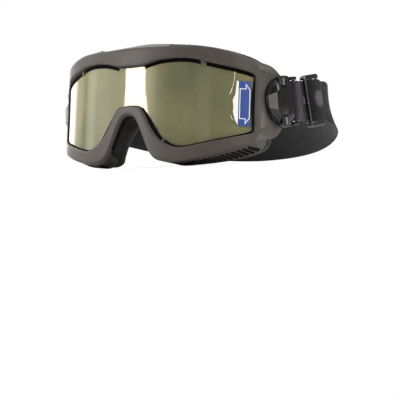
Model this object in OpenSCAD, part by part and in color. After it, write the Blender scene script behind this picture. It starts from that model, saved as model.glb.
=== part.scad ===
// Airsoft goggles with a one-piece curved double lens, a soft moulded frame with
// vent slots, swivelling quick-release strap clips and an adjustable elastic strap.
// Millimetres. The goggles stand on the two lower lobes of the frame and on the
// rear edge of the strap, leaning back, and look along -Y. +X is the wearer's left.
// The frame and lens are drawn level, with the bridge of the lens at the origin,
// then leaned back and set down. Outlines are given as [arc along the lens, height].

/* [Lens] */
// Radius of the cylinder that the lens front follows
lens_r = 114; // [105:1:130]
// Thickness of the outer pane
outer_t = 1.8; // [1.2:0.1:2.2]
// Thickness of the foam spacer between the panes
spacer_t = 2.6; // [1.8:0.1:3.2]
// Thickness of the inner pane
inner_t = 1.2; // [0.8:0.1:1.6]
// Thickness of the clear protective film
film_t = 0.2; // [0.15:0.05:0.3]
// How far the panes reach into the frame's groove
pane_reach = 0.9; // [0.6:0.1:1]
// Width of the spacer that shows inside the window
spacer_show = 1.6; // [1:0.1:2.5]
// Height of the air gaps over the panes
gap_h = 2.8; // [2:0.1:3.5]

/* [Window] */
// Half width of the window, along the lens
window_half = 94.8; // [88:0.1:98]
// Height of the window's crest over the bridge
window_crest = 34.4; // [32:0.1:36]
// Depth of the window's lobes under the bridge
window_drop = 31.4; // [29:0.1:33]

/* [Frame] */
// Width of the front band beside the window's ends
side_band = 4.2; // [3.7:0.1:6]
// Height of the front band's crest over the bridge
front_crest = 44; // [42.5:0.1:45.5]
// Depth of the front band's lobes under the bridge
front_drop = 42; // [40:0.1:44]
// How far the ends of the rear rim stay inside the front band's
rim_in = 3.2; // [1:0.1:5]
// Height of the rear rim's crest over the bridge
rim_crest = 50.4; // [48:0.1:52]
// Depth of the rear rim's lobes under the bridge
rim_drop = 42.6; // [42.1:0.1:44]
// Distance of the rear rim behind the lens front
rim_back = 21; // [18:0.5:26]
// Thickness of the frame's walls
wall = 2.4; // [2:0.1:2.8]
// How far the front band stands proud of the lens, over and under it
band_proud = 3.8; // [3:0.1:4.5]
// How far the front band stands proud of the lens at its ends
end_proud = 1.3; // [1:0.1:1.8]
// Width of the flange that carries the face foam
flange_w = 7; // [6:0.1:8]

/* [Vents] */
// Slots in each of the four rows
vent_count = 15; // [10:1:16]
// Distance of the last slot from the front band's end
vent_end = 8.6; // [8:0.1:12]
// Width of one slot
vent_w = 2.3; // [1.6:0.1:2.6]
// Lean of the slots along the rim
vent_slant = 3; // [0:0.5:4]
// Thickness of the filter foam behind the slots
filter_t = 1.6; // [1:0.1:2]

/* [Face foam] */
// Thickness of the face foam
foam_t = 11; // [8:0.5:14]
// Thickness of the soft lining
lining_t = 1.4; // [1:0.1:2]

/* [Arms and posts] */
// Turn of the arms from the ends of the lens
arm_turn = 21.2; // [18:0.1:24]
// Thickness of the arms
arm_t = 4.5; // [4:0.1:5]
// Distance of the pivot behind the front band's end, along the lens's end
pivot_behind = 22.4; // [21.5:0.1:24]
// How far the pivot lies inside the front band's end
pivot_in = 9.2; // [8.5:0.1:9.6]
// Height of the pivot over the bridge
pivot_z = 8; // [5:0.1:10]
// Radius of the shaft of the pivot post
post_r = 2.8; // [2.6:0.1:3]
// Radius of the post's neck, which the release tabs grip
neck_r = 1.8; // [1.5:0.1:1.9]
// Running clearance of the post in the clip
post_clear = 0.06; // [0.04:0.01:0.1]

/* [Clips] */
// Radius of the round front of the clip
clip_r = 19.2; // [18.8:0.1:20]
// Thickness of the clip's base
base_t = 2.2; // [2:0.1:3]
// Height of the clip's cover over its base
cover_h = 4.9; // [4.8:0.1:6]
// How far the clips are swivelled up at rest
clip_tilt = 8.5; // [0:0.5:15]
// Width of the ribbed face of a release tab
tab_w = 4.4; // [4:0.1:6]
// Travel of a release tab
tab_travel = 1.2; // [1.1:0.1:1.3]

/* [Strap] */
// Width of the webbing
web_w = 30; // [25:0.5:32]
// Thickness of the webbing
web_t = 1.6; // [1.2:0.1:1.8]
// Length of the slider along the strap
slider_l = 16; // [15:0.5:16.5]
// Height of the slider over the webbing's width
slider_over = 9.5; // [8:0.5:12]
// Thickness of the slider
slider_t = 2.5; // [2:0.1:3]
// Distance from the pivot to the slider's front edge
slider_at = 19.2; // [18.8:0.1:19.6]
// Skew of the slider on the strap
slider_skew = 6.5; // [0:0.5:7]

/* [Stance] */
// How far the goggles lean back as they stand
lean = 8.1; // [5:0.1:9]

/* [Hidden] */

// Small gap between pieces that touch without being joined
gap = 0.2;
// Set-down of the leaned goggles: setback and lift of the bridge
seat_y = -96.22;
seat_z = 45.77;

// Right half of each outline, from the top middle round the side to the bridge
window_shape = [[0, 29.3], [10, 29.5], [16, 31.2], [24, 33.2], [33, 34.2], [42, 34.4],
    [50, 33.6], [57, 32], [66, 30.3], [75, 28.8], [84, 27], [92, 25.1], [94.3, 23.6],
    [94.8, 21], [94.8, 12], [94.8, 3], [94.8, -6], [94.8, -15], [93.8, -18.4],
    [90, -20], [82, -22], [72, -24.5], [62, -26.9], [52, -29.4], [45, -31],
    [39.5, -31.4], [34, -30.2], [29, -27.8], [25, -25.2], [20.5, -20], [16, -12.6],
    [12.6, -5.8], [9.6, -1.8], [5, -0.3], [0, 0]];
front_shape = [[0, 43.6], [11, 43.5], [18, 43.4], [26, 43.5], [35, 43.8], [43, 44],
    [51, 43.8], [58, 43.1], [67, 41.8], [76, 39.8], [85, 37.2], [92.4, 34.8], [96.6, 32],
    [98.6, 27.6], [99, 14], [99, 3], [99, -8], [98.8, -17.5], [96.8, -24],
    [91.4, -27], [82.6, -30.2], [73, -33.4], [63, -36.6], [53.5, -39], [46, -40.6],
    [38.5, -41.8], [30.4, -42], [22.6, -40], [17.4, -34.4], [13.4, -26], [10.2, -18.4],
    [7.6, -13], [5, -9.4], [2.6, -7.9], [0, -7.5]];
rim_shape = [[0, 50.4], [11, 50], [18, 49.6], [26, 49], [35, 48.3], [43, 47.6],
    [50, 46.9], [56.5, 45.9], [64.5, 44.4], [72.5, 42.6], [80.5, 40.4], [88, 37.4],
    [92.6, 34], [95, 28.6], [95.8, 14], [95.8, 3], [95.8, -8], [95.4, -18], [93.6, -25.6],
    [89, -31], [79.5, -35.2], [69.5, -38.1], [59.5, -40], [50, -41.3], [43, -42.1],
    [37.5, -42.6], [32, -42.5], [27.6, -40.8], [25.4, -35.6], [22.2, -28.6], [18.2, -21.8],
    [13.6, -16.2], [8.8, -12.2], [4.2, -10.3], [0, -9.8]];

// Middle line of the loose rear of the strap, from the end of its straight run to the
// back: share of the end's distance from the middle, and how far behind and below it
strap_rear = [[0.9962, 8.83, 0.78], [0.9668, 18.43, 3.58], [0.9117, 30.83, 6.98],
    [0.8124, 47.43, 10.38], [0.6948, 62.03, 13.18], [0.5496, 75.03, 15.38],
    [0.375, 85.43, 16.78], [0.193, 91.83, 17.48], [0, 94.23, 17.78]];
// How far the strap's upper edge leans in, round the back
rear_lean = 18;

// Ends of the front band and of the rear rim, and the arms that follow them
front_half = window_half + side_band;
rim_half = front_half - rim_in;
end_turn = front_half / lens_r * 180 / PI;
arm_angle = end_turn + arm_turn;
pivot_x = (lens_r - pivot_in) * sin(end_turn) + pivot_behind * cos(end_turn);
pivot_y = lens_r - (lens_r - pivot_in) * cos(end_turn) + pivot_behind * sin(end_turn);
// Rows of vents, from a third of the way along the front band
vent_start = front_half / 3;
vent_pitch = (front_half - vent_end - vent_start) / (vent_count - 1);
// How far a cut runs past what it cuts, and the height of the lens's cylinder
cut_past = 10;
lens_tall = 1.75 * window_crest;

// Depths from the lens front, along the lens's radius
film_front = -0.05 - film_t;
spacer_front = outer_t + 0.05;
inner_front = spacer_front + spacer_t + 0.05;
stack_back = inner_front + inner_t;
lip_t = 1.8;
groove_w = 2.2;
groove_front = -0.3;
groove_back = stack_back + gap;
lip_back = groove_back + lip_t;
rear_lip_in = 1;

// Levels over the arm's outer face, outwards, at the pivot
arm_end_r = clip_r - 1.7;
base_back = 0.3;
base_front = base_back + base_t;
plate_t = 1;
plate1 = base_front + gap;
plate2 = plate1 + plate_t + gap;
neck_top = plate2 + plate_t + gap;
head_t = 1;
cover_top = base_front + cover_h;
post_hole_r = 7;
flange_t = 1.5;
window_x = post_r + 0.2;
plate_x = window_x + 0.9;
cover_rear = plate_x + 0.9;

// Strap bar of the clip, and the webbing that goes round it
bar_r = 1.2;
bar_gap = 3.1;
bar_x = cover_rear + bar_gap;
bar_up = 3.9;
rail_t = 2.4;
wrap_r = bar_r + 0.15 + web_t / 2;
rail_y = web_w / 2 + 0.6;
run_up = 3.4;
tail_l = 4.6;
tail_end = bar_x + tail_l;

// The strap's straight run behind the bar, turned inwards from the clip's plane
run_turn = 5;
run_from = bar_x + 5.4;
slide_back = 3.5;
fold_over = 2.6;
straight_end = slider_at + slider_l + fold_over + slide_back + 0.6;

function unit(v) = v / norm(v);
function crest(shape) = max([for (p = shape) p[1]]);
function depth(shape) = -min([for (p = shape) p[1]]);
function reach(shape) = max([for (p = shape) p[0]]);
function fitted(shape, half, up, down) =
    [for (p = shape) [p[0] * half / reach(shape),
        p[1] * (p[1] > 0 ? up / crest(shape) : down / depth(shape))]];
// A closed outline from its right half and the mirror image of it
function closed(half) = concat(half,
    [for (i = [len(half) - 2:-1:1]) [-half[i][0], half[i][1]]]);
// A smooth curve through points: each span keeps its own length as its pull
function span(a, b, ta, tb, u) = let (l = norm(b - a))
    a * (2 * u * u * u - 3 * u * u + 1) + ta * l * (u * u * u - 2 * u * u + u)
    + b * (3 * u * u - 2 * u * u * u) + tb * l * (u * u * u - u * u);
function smooth_ring(p, steps) = let (n = len(p),
    t = [for (i = [0:n - 1]) unit(p[(i + 1) % n] - p[(i + n - 1) % n])])
    [for (i = [0:n - 1], k = [0:steps - 1])
        span(p[i], p[(i + 1) % n], t[i], t[(i + 1) % n], k / steps)];
function smooth_line(p, steps, first, last) = let (n = len(p),
    t = [for (i = [0:n - 1]) i == 0 ? first : i == n - 1 ? last
        : unit(p[i + 1] - p[i - 1])])
    concat([for (i = [0:n - 2], k = [0:steps - 1])
        span(p[i], p[i + 1], t[i], t[i + 1], k / steps)], [p[n - 1]]);

ring_steps = 2;
window_pts = smooth_ring(closed(fitted(window_shape, window_half, window_crest,
    window_drop)), ring_steps);
front_pts = smooth_ring(closed(fitted(front_shape, front_half, front_crest,
    front_drop)), ring_steps);
rim_pts = smooth_ring(closed(fitted(rim_shape, rim_half, rim_crest, rim_drop)),
    ring_steps);
ring_n = len(window_pts);
out_dir = [for (i = [0:ring_n - 1]) unit(front_pts[i] - window_pts[i])];

// A point on the goggles: arc and height, depth along the lens's radius, and setback
function turn(s) = s / lens_r * 180 / PI;
function place(p, d, back) = [(lens_r - d) * sin(turn(p[0])),
    back + lens_r - (lens_r - d) * cos(turn(p[0])), p[1]];

// A ring of sections as a closed solid
module ring_solid(rings) {
    n = len(rings);
    m = len(rings[0]);
    points = [for (r = rings, p = r) p];
    faces = [for (i = [0:n - 1], j = [0:m - 1]) let (a = i * m + j,
        b = i * m + (j + 1) % m, c = ((i + 1) % n) * m + j, d = ((i + 1) % n) * m + (j + 1) % m)
        each [[a, b, d], [a, d, c]]];
    polyhedron(points = points, faces = faces, convexity = 8);
}

// An open row of sections as a closed solid with flat ends
module row_solid(rings) {
    n = len(rings);
    m = len(rings[0]);
    points = [for (r = rings, p = r) p];
    sides = [for (i = [0:n - 2], j = [0:m - 1]) let (a = i * m + j,
        b = i * m + (j + 1) % m, c = (i + 1) * m + j, d = (i + 1) * m + (j + 1) % m)
        each [[a, b, d], [a, d, c]]];
    start = [for (j = [m - 1:-1:0]) j];
    end = [for (j = [0:m - 1]) (n - 1) * m + j];
    polyhedron(points = points, faces = concat(sides, [start, end]), convexity = 8);
}

// Stands the goggles on the ground, leaned back
module seated() {
    translate([0, seat_y, seat_z]) rotate([-lean, 0, 0]) children();
}

// Places what is drawn for the left side there, or mirrors it to the right
module sided(side) {
    seated() mirror([side == "left" ? 0 : 1, 0, 0]) children();
}

// The arm's own frame: x to the rear along the arm, y up, z outwards, from the pivot
module on_arm() {
    translate([pivot_x, pivot_y, pivot_z]) rotate([0, 0, arm_angle]) rotate([90, 0, 0])
        children();
}
module on_clip() {
    on_arm() rotate([0, 0, clip_tilt]) children();
}
// On the strap's straight run, at d from the pivot, on the middle of the webbing
module on_run(d) {
    on_clip() translate([run_from + (d - run_from) * cos(run_turn), 0,
        run_up - (d - run_from) * sin(run_turn)]) rotate([0, run_turn, 0]) children();
}
// The same place as a point
function clip_point(x, y, z) = let (
    a = x * cos(clip_tilt) - y * sin(clip_tilt), up = x * sin(clip_tilt) + y * cos(clip_tilt))
    [pivot_x + a * cos(arm_angle) + z * sin(arm_angle),
    pivot_y + a * sin(arm_angle) - z * cos(arm_angle), pivot_z + up];

function run_spot(d, y, h) = clip_point(run_from + (d - run_from) * cos(run_turn)
    + h * sin(run_turn), y, run_up - (d - run_from) * sin(run_turn) + h * cos(run_turn));
function run_point(d, h) = run_spot(d, 0, h);

// The front band sinks towards the ends of the lens
end_from = 0.78;
function eased(u) = let (c = min(1, max(0, u))) c * c * (3 - 2 * c);
function proud(i) = let (share = abs(window_pts[i][0]) / window_half)
    band_proud + (end_proud - band_proud) * eased((share - end_from) / (1 - end_from));
// Where the wall leans in behind the front band, as at the nose, its inside follows it
function sunk(i) = let (q = proud(i), share = (lip_back + q - 2.4) / (rim_back + q - 4))
    max(0, share * ((front_pts[i] - rim_pts[i]) * out_dir[i]));
function frame_section(i) = let (w = window_pts[i], f = front_pts[i], r = rim_pts[i],
    e = out_dir[i], q = proud(i), edge = q / band_proud)
    [place(w, -q + 1 * edge, 0),
    place(w + e * 0.6, -q + 0.25 * edge, 0),
    place(w + e * 1.5, -q, 0),
    place(f - e * 2, -q, 0),
    place(f - e * 0.6, -q + 0.7 * edge, 0),
    place(f, -q + 2.4 * edge, 0),
    place(r, 0, rim_back - 1.6),
    place(r - e * 0.5, 0, rim_back),
    place(r - e * flange_w, 0, rim_back),
    place(r - e * flange_w, 0, rim_back - wall),
    place(r - e * (wall + 0.3), 0, rim_back - wall),
    place(f - e * (wall + sunk(i)), lip_back, 0),
    place(w + e * rear_lip_in, lip_back, 0),
    place(w + e * rear_lip_in, groove_back, 0),
    place(w + e * groove_w, groove_back, 0),
    place(w + e * groove_w, groove_front, 0),
    place(w, groove_front, 0)];

// Outline of the arm in its own frame, a tapered plate that ends round the pivot,
// drawn for an end of radius arm_drawn_r
arm_drawn_r = 17.5;
arm_shape = [[-23, 26], [-14, 25], [-8.5, 22.8], [-3.4, 19.4], [1.4, 17.4], [4, 0],
    [1.6, -17.4], [-0.6, -20.6], [-4, -25.2], [-7.4, -28], [-11, -29.2], [-23, -31.4]];
module arm_outline() {
    circle(r = arm_end_r, $fn = 72);
    polygon([for (p = arm_shape) p * arm_end_r / arm_drawn_r]);
}

module vent_slot(front, rear, under) {
    cut = 5;
    hull() for (p = [front, rear])
        translate([p[0], p[1], p[2] - (under ? cut - 1 : cut)])
            cylinder(r = vent_w / 2, h = 2 * cut - 1, $fn = 10);
}

top_front = [for (i = [0:ring_n / 4]) front_pts[i]];
top_rim = [for (i = [0:ring_n / 4]) rim_pts[i]];
half_n = ring_n / 2;
low_front = [for (i = [half_n - 12:-1:half_n - 34]) front_pts[i]];
low_rim = [for (i = [half_n - 12:-1:half_n - 34]) rim_pts[i]];

module vents() {
    rim_share = rim_half / front_half;
    for (k = [0:vent_count - 1]) {
        s = vent_start + k * vent_pitch;
        sr = s * rim_share + vent_slant;
        sf = s - vent_slant / 2;
        for (row = [[top_front, top_rim, false], [low_front, low_rim, true]])
            vent_slot(place([sf, lookup(sf, row[0])], 0, 4.6),
                place([sr, lookup(sr, row[1])], 0, rim_back - 4.4), row[2]);
    }
}

module frame() {
    color([0.3, 0.29, 0.28]) seated() difference() {
        union() {
            ring_solid([for (i = [0:ring_n - 1]) frame_section(i)]);
            for (m = [0, 1]) mirror([m, 0, 0]) on_arm()
                translate([0, 0, -arm_t]) linear_extrude(arm_t) arm_outline();
        }
        for (m = [0, 1]) mirror([m, 0, 0]) {
            on_arm() translate([0, 0, -arm_t - 1])
                cylinder(r = post_hole_r, h = arm_t + 2, $fn = 48);
            vents();
        }
    }
}

// A cylinder shell that follows the lens from depth a to depth b
module lens_shell(a, b, tall) {
    translate([0, lens_r, -tall]) difference() {
        cylinder(r = lens_r - a, h = 2 * tall, $fn = 200);
        translate([0, 0, -1]) cylinder(r = lens_r - b, h = 2 * tall + 2, $fn = 200);
    }
}

// The window's outline grown by g, drawn at depth d, cut through from the front
module window_prism(g, d) {
    rotate([90, 0, 0]) translate([0, 0, -lens_r]) linear_extrude(lens_r + cut_past)
        polygon([for (i = [0:ring_n - 1]) let (p = window_pts[i] + out_dir[i] * g)
            [(lens_r - d) * sin(turn(p[0])), p[1]]]);
}

// Strips over the panes that let the air through, between the holding points
module air_gaps(d) {
    bridge = 0.1213 * window_half;
    tab_at = 0.5907 * window_half;
    gap_end = 0.9842 * window_half;
    tab = 1.8;
    rotate([90, 0, 0]) translate([0, 0, -lens_r]) linear_extrude(lens_r + cut_past)
        for (m = [-1, 1], part = [[bridge, tab_at - tab], [tab_at + tab, gap_end]])
            polygon(concat(
                [for (p = gap_line(part[0], part[1])) [m * sx(p[0], d), p[1] - gap_h]],
                [for (p = gap_line(part[1], part[0])) [m * sx(p[0], d), p[1] + groove_w]]));
}
top_window = [for (i = [0:ring_n / 4]) window_pts[i]];
function sx(s, d) = (lens_r - d) * sin(turn(s));
function gap_line(a, b) = [for (u = [0:0.125:1]) let (s = a + (b - a) * u)
    [s, lookup(s, top_window)]];

module pane(a, b, g) {
    mid = (a + b) / 2;
    seated() difference() {
        intersection() {
            lens_shell(a, b, lens_tall);
            window_prism(g, mid);
        }
        air_gaps(mid);
    }
}
module lens_outer() {
    color([0.45, 0.46, 0.32, 0.8]) pane(0, outer_t, pane_reach);
}
module lens_inner() {
    color([0.5, 0.5, 0.4, 0.8]) pane(inner_front, stack_back, pane_reach);
}
module lens_film() {
    color([0.8, 0.8, 0.75, 0.4]) pane(film_front, -0.05, -0.5);
}
module lens_spacer() {
    mid = spacer_front + spacer_t / 2;
    color([0.06, 0.06, 0.06]) seated() difference() {
        intersection() {
            lens_shell(spacer_front, spacer_front + spacer_t, lens_tall);
            window_prism(pane_reach - 0.8, mid);
        }
        window_prism(-gap_h - spacer_show, mid);
        air_gaps(mid);
    }
}
// Pull tab of the film: a blue label at the near end of the lens
module film_tab() {
    tab_edge = window_half - 3.4;
    label_w = 12.5;
    label_h = 33;
    label_low = -14.5;
    thick = 0.15;
    front = film_front - 0.05;
    color([0.2, 0.35, 0.65]) seated() intersection() {
        lens_shell(front - thick, front, lens_tall);
        rotate([90, 0, 0]) translate([0, 0, -lens_r]) linear_extrude(lens_r + cut_past)
            polygon([[sx(tab_edge - label_w, front), label_low],
                [sx(tab_edge, front), label_low], [sx(tab_edge, front), label_low + label_h],
                [sx(tab_edge - label_w, front), label_low + label_h]]);
    }
}

// Face foam: a crowned ring on the rear flange
function foam_section(i) = let (r = rim_pts[i], e = out_dir[i], b = rim_back + gap)
    [place(r - e * 2, 0, b), place(r - e * 1.6, 0, b + foam_t * 0.35),
    place(r - e * 2.1, 0, b + foam_t * 0.8), place(r - e * 3.4, 0, b + foam_t),
    place(r - e * (flange_w + 1.4), 0, b + foam_t),
    place(r - e * (flange_w + 2.4), 0, b + foam_t * 0.7),
    place(r - e * (flange_w + 1.2), 0, b + foam_t * 0.3), place(r - e * flange_w, 0, b)];
module face_foam() {
    color([0.13, 0.13, 0.13]) seated()
        ring_solid([for (i = [0:ring_n - 1]) foam_section(i)]);
}
function lining_section(i) = let (r = rim_pts[i], e = out_dir[i],
    b = rim_back + gap + foam_t + 0.1)
    [place(r - e * 3.4, 0, b), place(r - e * 3.8, 0, b + lining_t * 0.7),
    place(r - e * 5, 0, b + lining_t), place(r - e * (flange_w - 0.1), 0, b + lining_t),
    place(r - e * (flange_w + 1), 0, b + lining_t * 0.6), place(r - e * (flange_w + 1.4), 0, b)];
module foam_lining() {
    color([0.2, 0.2, 0.2]) seated()
        ring_solid([for (i = [0:ring_n - 1]) lining_section(i)]);
}

// Filter strips behind the vent slots
module vent_filter(front_row, rim_row, sign) {
    e = [0, sign];
    deep = wall + 1.1;
    row = [for (k = [0:vent_count]) let (s = vent_start - 3 + k * vent_pitch,
        sr = s * rim_half / front_half, f = [s, lookup(s, front_row)],
        r = [sr, lookup(sr, rim_row)])
        [place(f - e * deep, lip_back + 0.8, 0), place(r - e * deep, 0, rim_back - wall - 0.8),
        place(r - e * (deep + filter_t), 0, rim_back - wall - 0.8),
        place(f - e * (deep + filter_t), lip_back + 0.8, 0)]];
    row_solid(sign > 0 ? row : [for (i = [len(row) - 1:-1:0]) row[i]]);
}

// Thin saddle that closes the nose arch behind the frame
nose_first = 56;
function wall_line(i) = [place(front_pts[i], 2.4 - proud(i), 0),
    place(rim_pts[i], 0, rim_back - 1.6)];
function nose_section(i, t) = let (w = wall_line(i), c = wall_line(i + 1), d = wall_line(i - 1),
    n = unit(cross(c[0] + c[1] - d[0] - d[1], w[1] - w[0])),
    a = w[0] + (w[1] - w[0]) * 0.2 + n * 0.35, b = w[0] + (w[1] - w[0]) * 0.98 + n * 0.35)
    [b, a, a + n * t, b + n * t];
module nose_shield() {
    color([0.1, 0.1, 0.1]) seated()
        row_solid([for (i = [nose_first:ring_n - nose_first]) nose_section(i, 1)]);
}

// Post that the clip turns on, with the neck that the release tabs grip
module pivot_post() {
    flange_r = 10;
    chamfer = 0.5;
    on_arm() rotate_extrude($fn = 64) polygon([[0, -arm_t - flange_t],
        [flange_r, -arm_t - flange_t], [flange_r, -arm_t - 0.05],
        [post_hole_r - 0.1, -arm_t - 0.05], [post_hole_r - 0.1, 0],
        [post_r, 0], [post_r, base_front + gap / 2],
        [neck_r, base_front + gap / 2], [neck_r, neck_top], [post_r, neck_top],
        [post_r, neck_top + head_t - chamfer], [post_r - chamfer, neck_top + head_t],
        [0, neck_top + head_t]]);
}

// Base plate of the clip: round front, and two rails that hold the strap bar
module clip_base() {
    rail_top = bar_up + bar_r + 0.4;
    on_clip() difference() {
        union() {
            translate([0, 0, base_back]) linear_extrude(base_t) intersection() {
                circle(r = clip_r, $fn = 96);
                translate([-clip_r, -clip_r]) square([clip_r + cover_rear, 2 * clip_r]);
            }
            for (m = [0, 1]) mirror([0, m, 0]) {
                translate([cover_rear - 3, rail_y, base_back + 0.6])
                    cube([4, rail_t, base_t - 0.6]);
                translate([cover_rear - 0.3, rail_y, base_back + 0.6])
                    cube([bar_x + bar_r + 1.1 - cover_rear, rail_t, rail_top - base_back - 0.6]);
            }
            translate([bar_x, 0, bar_up]) rotate([90, 0, 0])
                cylinder(r = bar_r, h = 2 * rail_y + 2, center = true, $fn = 32);
        }
        translate([0, 0, base_back - 1])
            cylinder(r = post_r + post_clear, h = base_t + 2, $fn = 64);
        for (m = [-1, 1]) translate([screw_x, m * screw_y, base_back - 1])
            cylinder(r = screw_r + 0.1, h = base_t + 2, $fn = 24);
    }
}

screw_x = -12.4;
screw_y = 6.4;
screw_r = 1;

// The cover's outline at its foot and round its raised panel
cover_foot = [[cover_rear, -15], [cover_rear - 1, -16.6], [-2, -18.4], [-10, -15.8],
    [-16, -9.6], [-18.6, -4.6], [-18.6, 4.6], [-16, 9.6], [-10, 15.8], [-2, 18.4],
    [cover_rear - 1, 16.6], [cover_rear, 15]];
cover_panel = [[cover_rear - 1.2, -10.4], [-8.6, -10.4], [-13, -6.4], [-13, 6.4],
    [-8.6, 10.4], [cover_rear - 1.2, 10.4]];
module clip_cover() {
    shell = 0.8;
    foot_t = 1.2;
    cavity_top = neck_top + head_t + 0.2 - base_front;
    cavity_x = 9.2;
    notch_y = button_y - tab_travel - 0.2;
    ear_y = button_y + 1;
    on_clip() translate([0, 0, base_front + 0.05]) difference() {
        hull() {
            linear_extrude(foot_t) polygon(cover_foot);
            translate([0, 0, cover_h - 0.6]) linear_extrude(0.6) polygon(cover_panel);
        }
        translate([-cavity_x, -notch_y, -1])
            cube([cavity_x + cover_rear - shell, 2 * notch_y, cavity_top + 1]);
        translate([-cavity_x, -ear_y, -1]) cube([cavity_x + plate_x + 0.3, 2 * ear_y, 3.8]);
        for (m = [0, 1]) mirror([0, m, 0])
            translate([button_x - tab_w / 2 - 0.3, notch_y - 0.1, -1])
                cube([tab_w + 0.6, clip_r, cover_h + 2]);
        for (m = [-1, 1]) translate([screw_x, m * screw_y, -1])
            cylinder(r = screw_r - 0.1, h = 4, $fn = 24);
    }
}

// Two small screws that hold the cover on the base
module clip_screws() {
    on_clip() for (m = [-1, 1]) translate([screw_x, m * screw_y, base_back - 0.25])
        cylinder(r = screw_r - 0.2, h = base_t + 3, $fn = 24);
}

// Release tab: a ribbed button on a slotted plate that grips the post's neck
button_x = -6.2;
button_y = 11.8;
module release_tab(level, up) {
    button_top = 17.2;
    button_z = cover_top - 0.4;
    jaw = neck_r + 0.12;
    jaw_t = 2.4;
    ear_x = button_x - tab_w / 2;
    rib = 0.5;
    on_clip() mirror([0, up ? 0 : 1, 0]) difference() {
        union() {
            translate([-plate_x, -jaw - jaw_t, level])
                cube([2 * plate_x, button_y + jaw + jaw_t + 0.5, plate_t]);
            translate([ear_x, button_y - 0.9, level]) cube([plate_x - ear_x, 1.6, plate_t]);
            translate([ear_x, button_y, level])
                cube([tab_w, button_top - button_y, button_z - level]);
        }
        translate([-window_x, -jaw, level - 1])
            cube([2 * window_x, jaw + post_r + tab_travel + 0.4, plate_t + 2]);
        for (k = [0:3]) translate([ear_x - 1, button_y + 0.7 + k * 1.3, button_z - rib])
            cube([tab_w + 2, rib, 1]);
    }
}

// Spring between the ears of the two tabs
module tab_spring() {
    spring_r = 0.95;
    spring_x = -plate_x - spring_r - 0.35;
    half = button_y - 0.9 - 0.1;
    on_clip() translate([spring_x, -half, plate2]) rotate([-90, 0, 0]) difference() {
        cylinder(r = spring_r, h = 2 * half, $fn = 24);
        translate([0, 0, -1]) cylinder(r = spring_r - 0.4, h = 2 * half + 2, $fn = 24);
    }
}

// Sweep of the webbing along a path, with its width along the given directions
function web_rings(path, wide, half_w, half_t) = [for (i = [0:len(path) - 1]) let (
    n = len(path), t = unit(path[min(i + 1, n - 1)] - path[max(i - 1, 0)]),
    w = unit(wide[i] - t * (wide[i] * t)), o = cross(w, t))
    [path[i] + w * half_w + o * half_t, path[i] - w * half_w + o * half_t,
    path[i] - w * half_w - o * half_t, path[i] + w * half_w - o * half_t]];

wide_clip = clip_point(0, 1, 0) - clip_point(0, 0, 0);
wrap_pts = [for (k = [0:6]) let (a = -90 - 30 * k)
    clip_point(bar_x + wrap_r * cos(a), 0, bar_up + wrap_r * sin(a))];
side_pts = concat([for (p = [[bar_x + 1.6, bar_up + wrap_r - 0.4],
    [bar_x + 3.2, run_up + 1.4], [bar_x + 4.6, run_up + 0.25]]) clip_point(p[0], 0, p[1])],
    [for (d = [run_from + 1.4, (run_from + straight_end) / 2, straight_end]) run_point(d, 0)]);
run_dir = unit(run_point(1, 0) - run_point(0, 0));
run_end = run_point(straight_end, 0);
rear_pts = smooth_line(concat([run_end], [for (p = strap_rear)
    [p[0] * run_end[0], run_end[1] + p[1], run_end[2] - p[2]]]), 3, run_dir, [-1, 0, 0]);
strap_half = concat(wrap_pts, side_pts, [for (i = [1:len(rear_pts) - 2]) rear_pts[i]]);
half_count = len(strap_half);
blend_from = len(wrap_pts) + len(side_pts) - 1;
up_rear = [0, -sin(lean), cos(lean)];
loop_mid = pivot_y + 40.6;
function wide_rear(p) = up_rear * cos(rear_lean)
    - unit([p[0], p[1] - loop_mid, (p[1] - loop_mid) * tan(lean)]) * sin(rear_lean);
wide_half = [for (i = [0:half_count - 1]) let (
    u = eased((i - blend_from) / (half_count - blend_from) * 1.8))
    wide_clip * (1 - u) + wide_rear(strap_half[i]) * u];
function mirrored(v) = [-v[0], v[1], v[2]];

module strap() {
    path = concat(strap_half, [rear_pts[len(rear_pts) - 1]],
        [for (i = [half_count - 1:-1:0]) mirrored(strap_half[i])]);
    wide = concat(wide_half, [wide_rear(rear_pts[len(rear_pts) - 1])], [for (i = [half_count - 1:-1:0])
        mirrored(wide_half[i])]);
    color([0.16, 0.15, 0.16]) seated()
        row_solid(web_rings(path, wide, web_w / 2, web_t / 2));
}

// Sewn-back end of the webbing, under the strap from the clip's bar
module strap_tail() {
    lap_up = bar_up - wrap_r;
    on_clip() translate([bar_x + 0.5, -web_w / 2, lap_up - web_t / 2])
        cube([tail_end - bar_x, web_w, web_t]);
}

// Three-bar slider, drawn from the middle of the webbing
slider_mid = slider_at + slider_l / 2;
bars_up = web_t / 2 + 0.4;
front_bar = 1.8;
mid_bar = 2.8;
rear_bar = 2.2;
slot_y = web_w / 2 + 1.25;
module slider() {
    slider_h = web_w + slider_over;
    corner = 2.6;
    low = -web_t / 2 - 0.6;
    slot = (slider_l - front_bar - mid_bar - rear_bar) / 2;
    on_run(slider_mid) rotate([0, 0, slider_skew]) difference() {
        translate([0, 0, low]) linear_extrude(bars_up + slider_t - low) hull()
            for (x = [corner - slider_l / 2, slider_l / 2 - corner], y = [-1, 1])
                translate([x, y * (slider_h / 2 - corner)]) circle(r = corner, $fn = 32);
        translate([-slider_l, -slot_y, low - 1])
            cube([2 * slider_l, 2 * slot_y, bars_up - low + 1]);
        for (x = [front_bar - slider_l / 2, slider_l / 2 - rear_bar - slot])
            translate([x, -slot_y, 0]) cube([slot, 2 * slot_y, slider_t + 10]);
        translate([slider_l / 2 - rear_bar - 1, -slot_y, bars_up + slider_t - 1])
            cube([rear_bar + 2, 2 * slot_y, 2]);
    }
}

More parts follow.
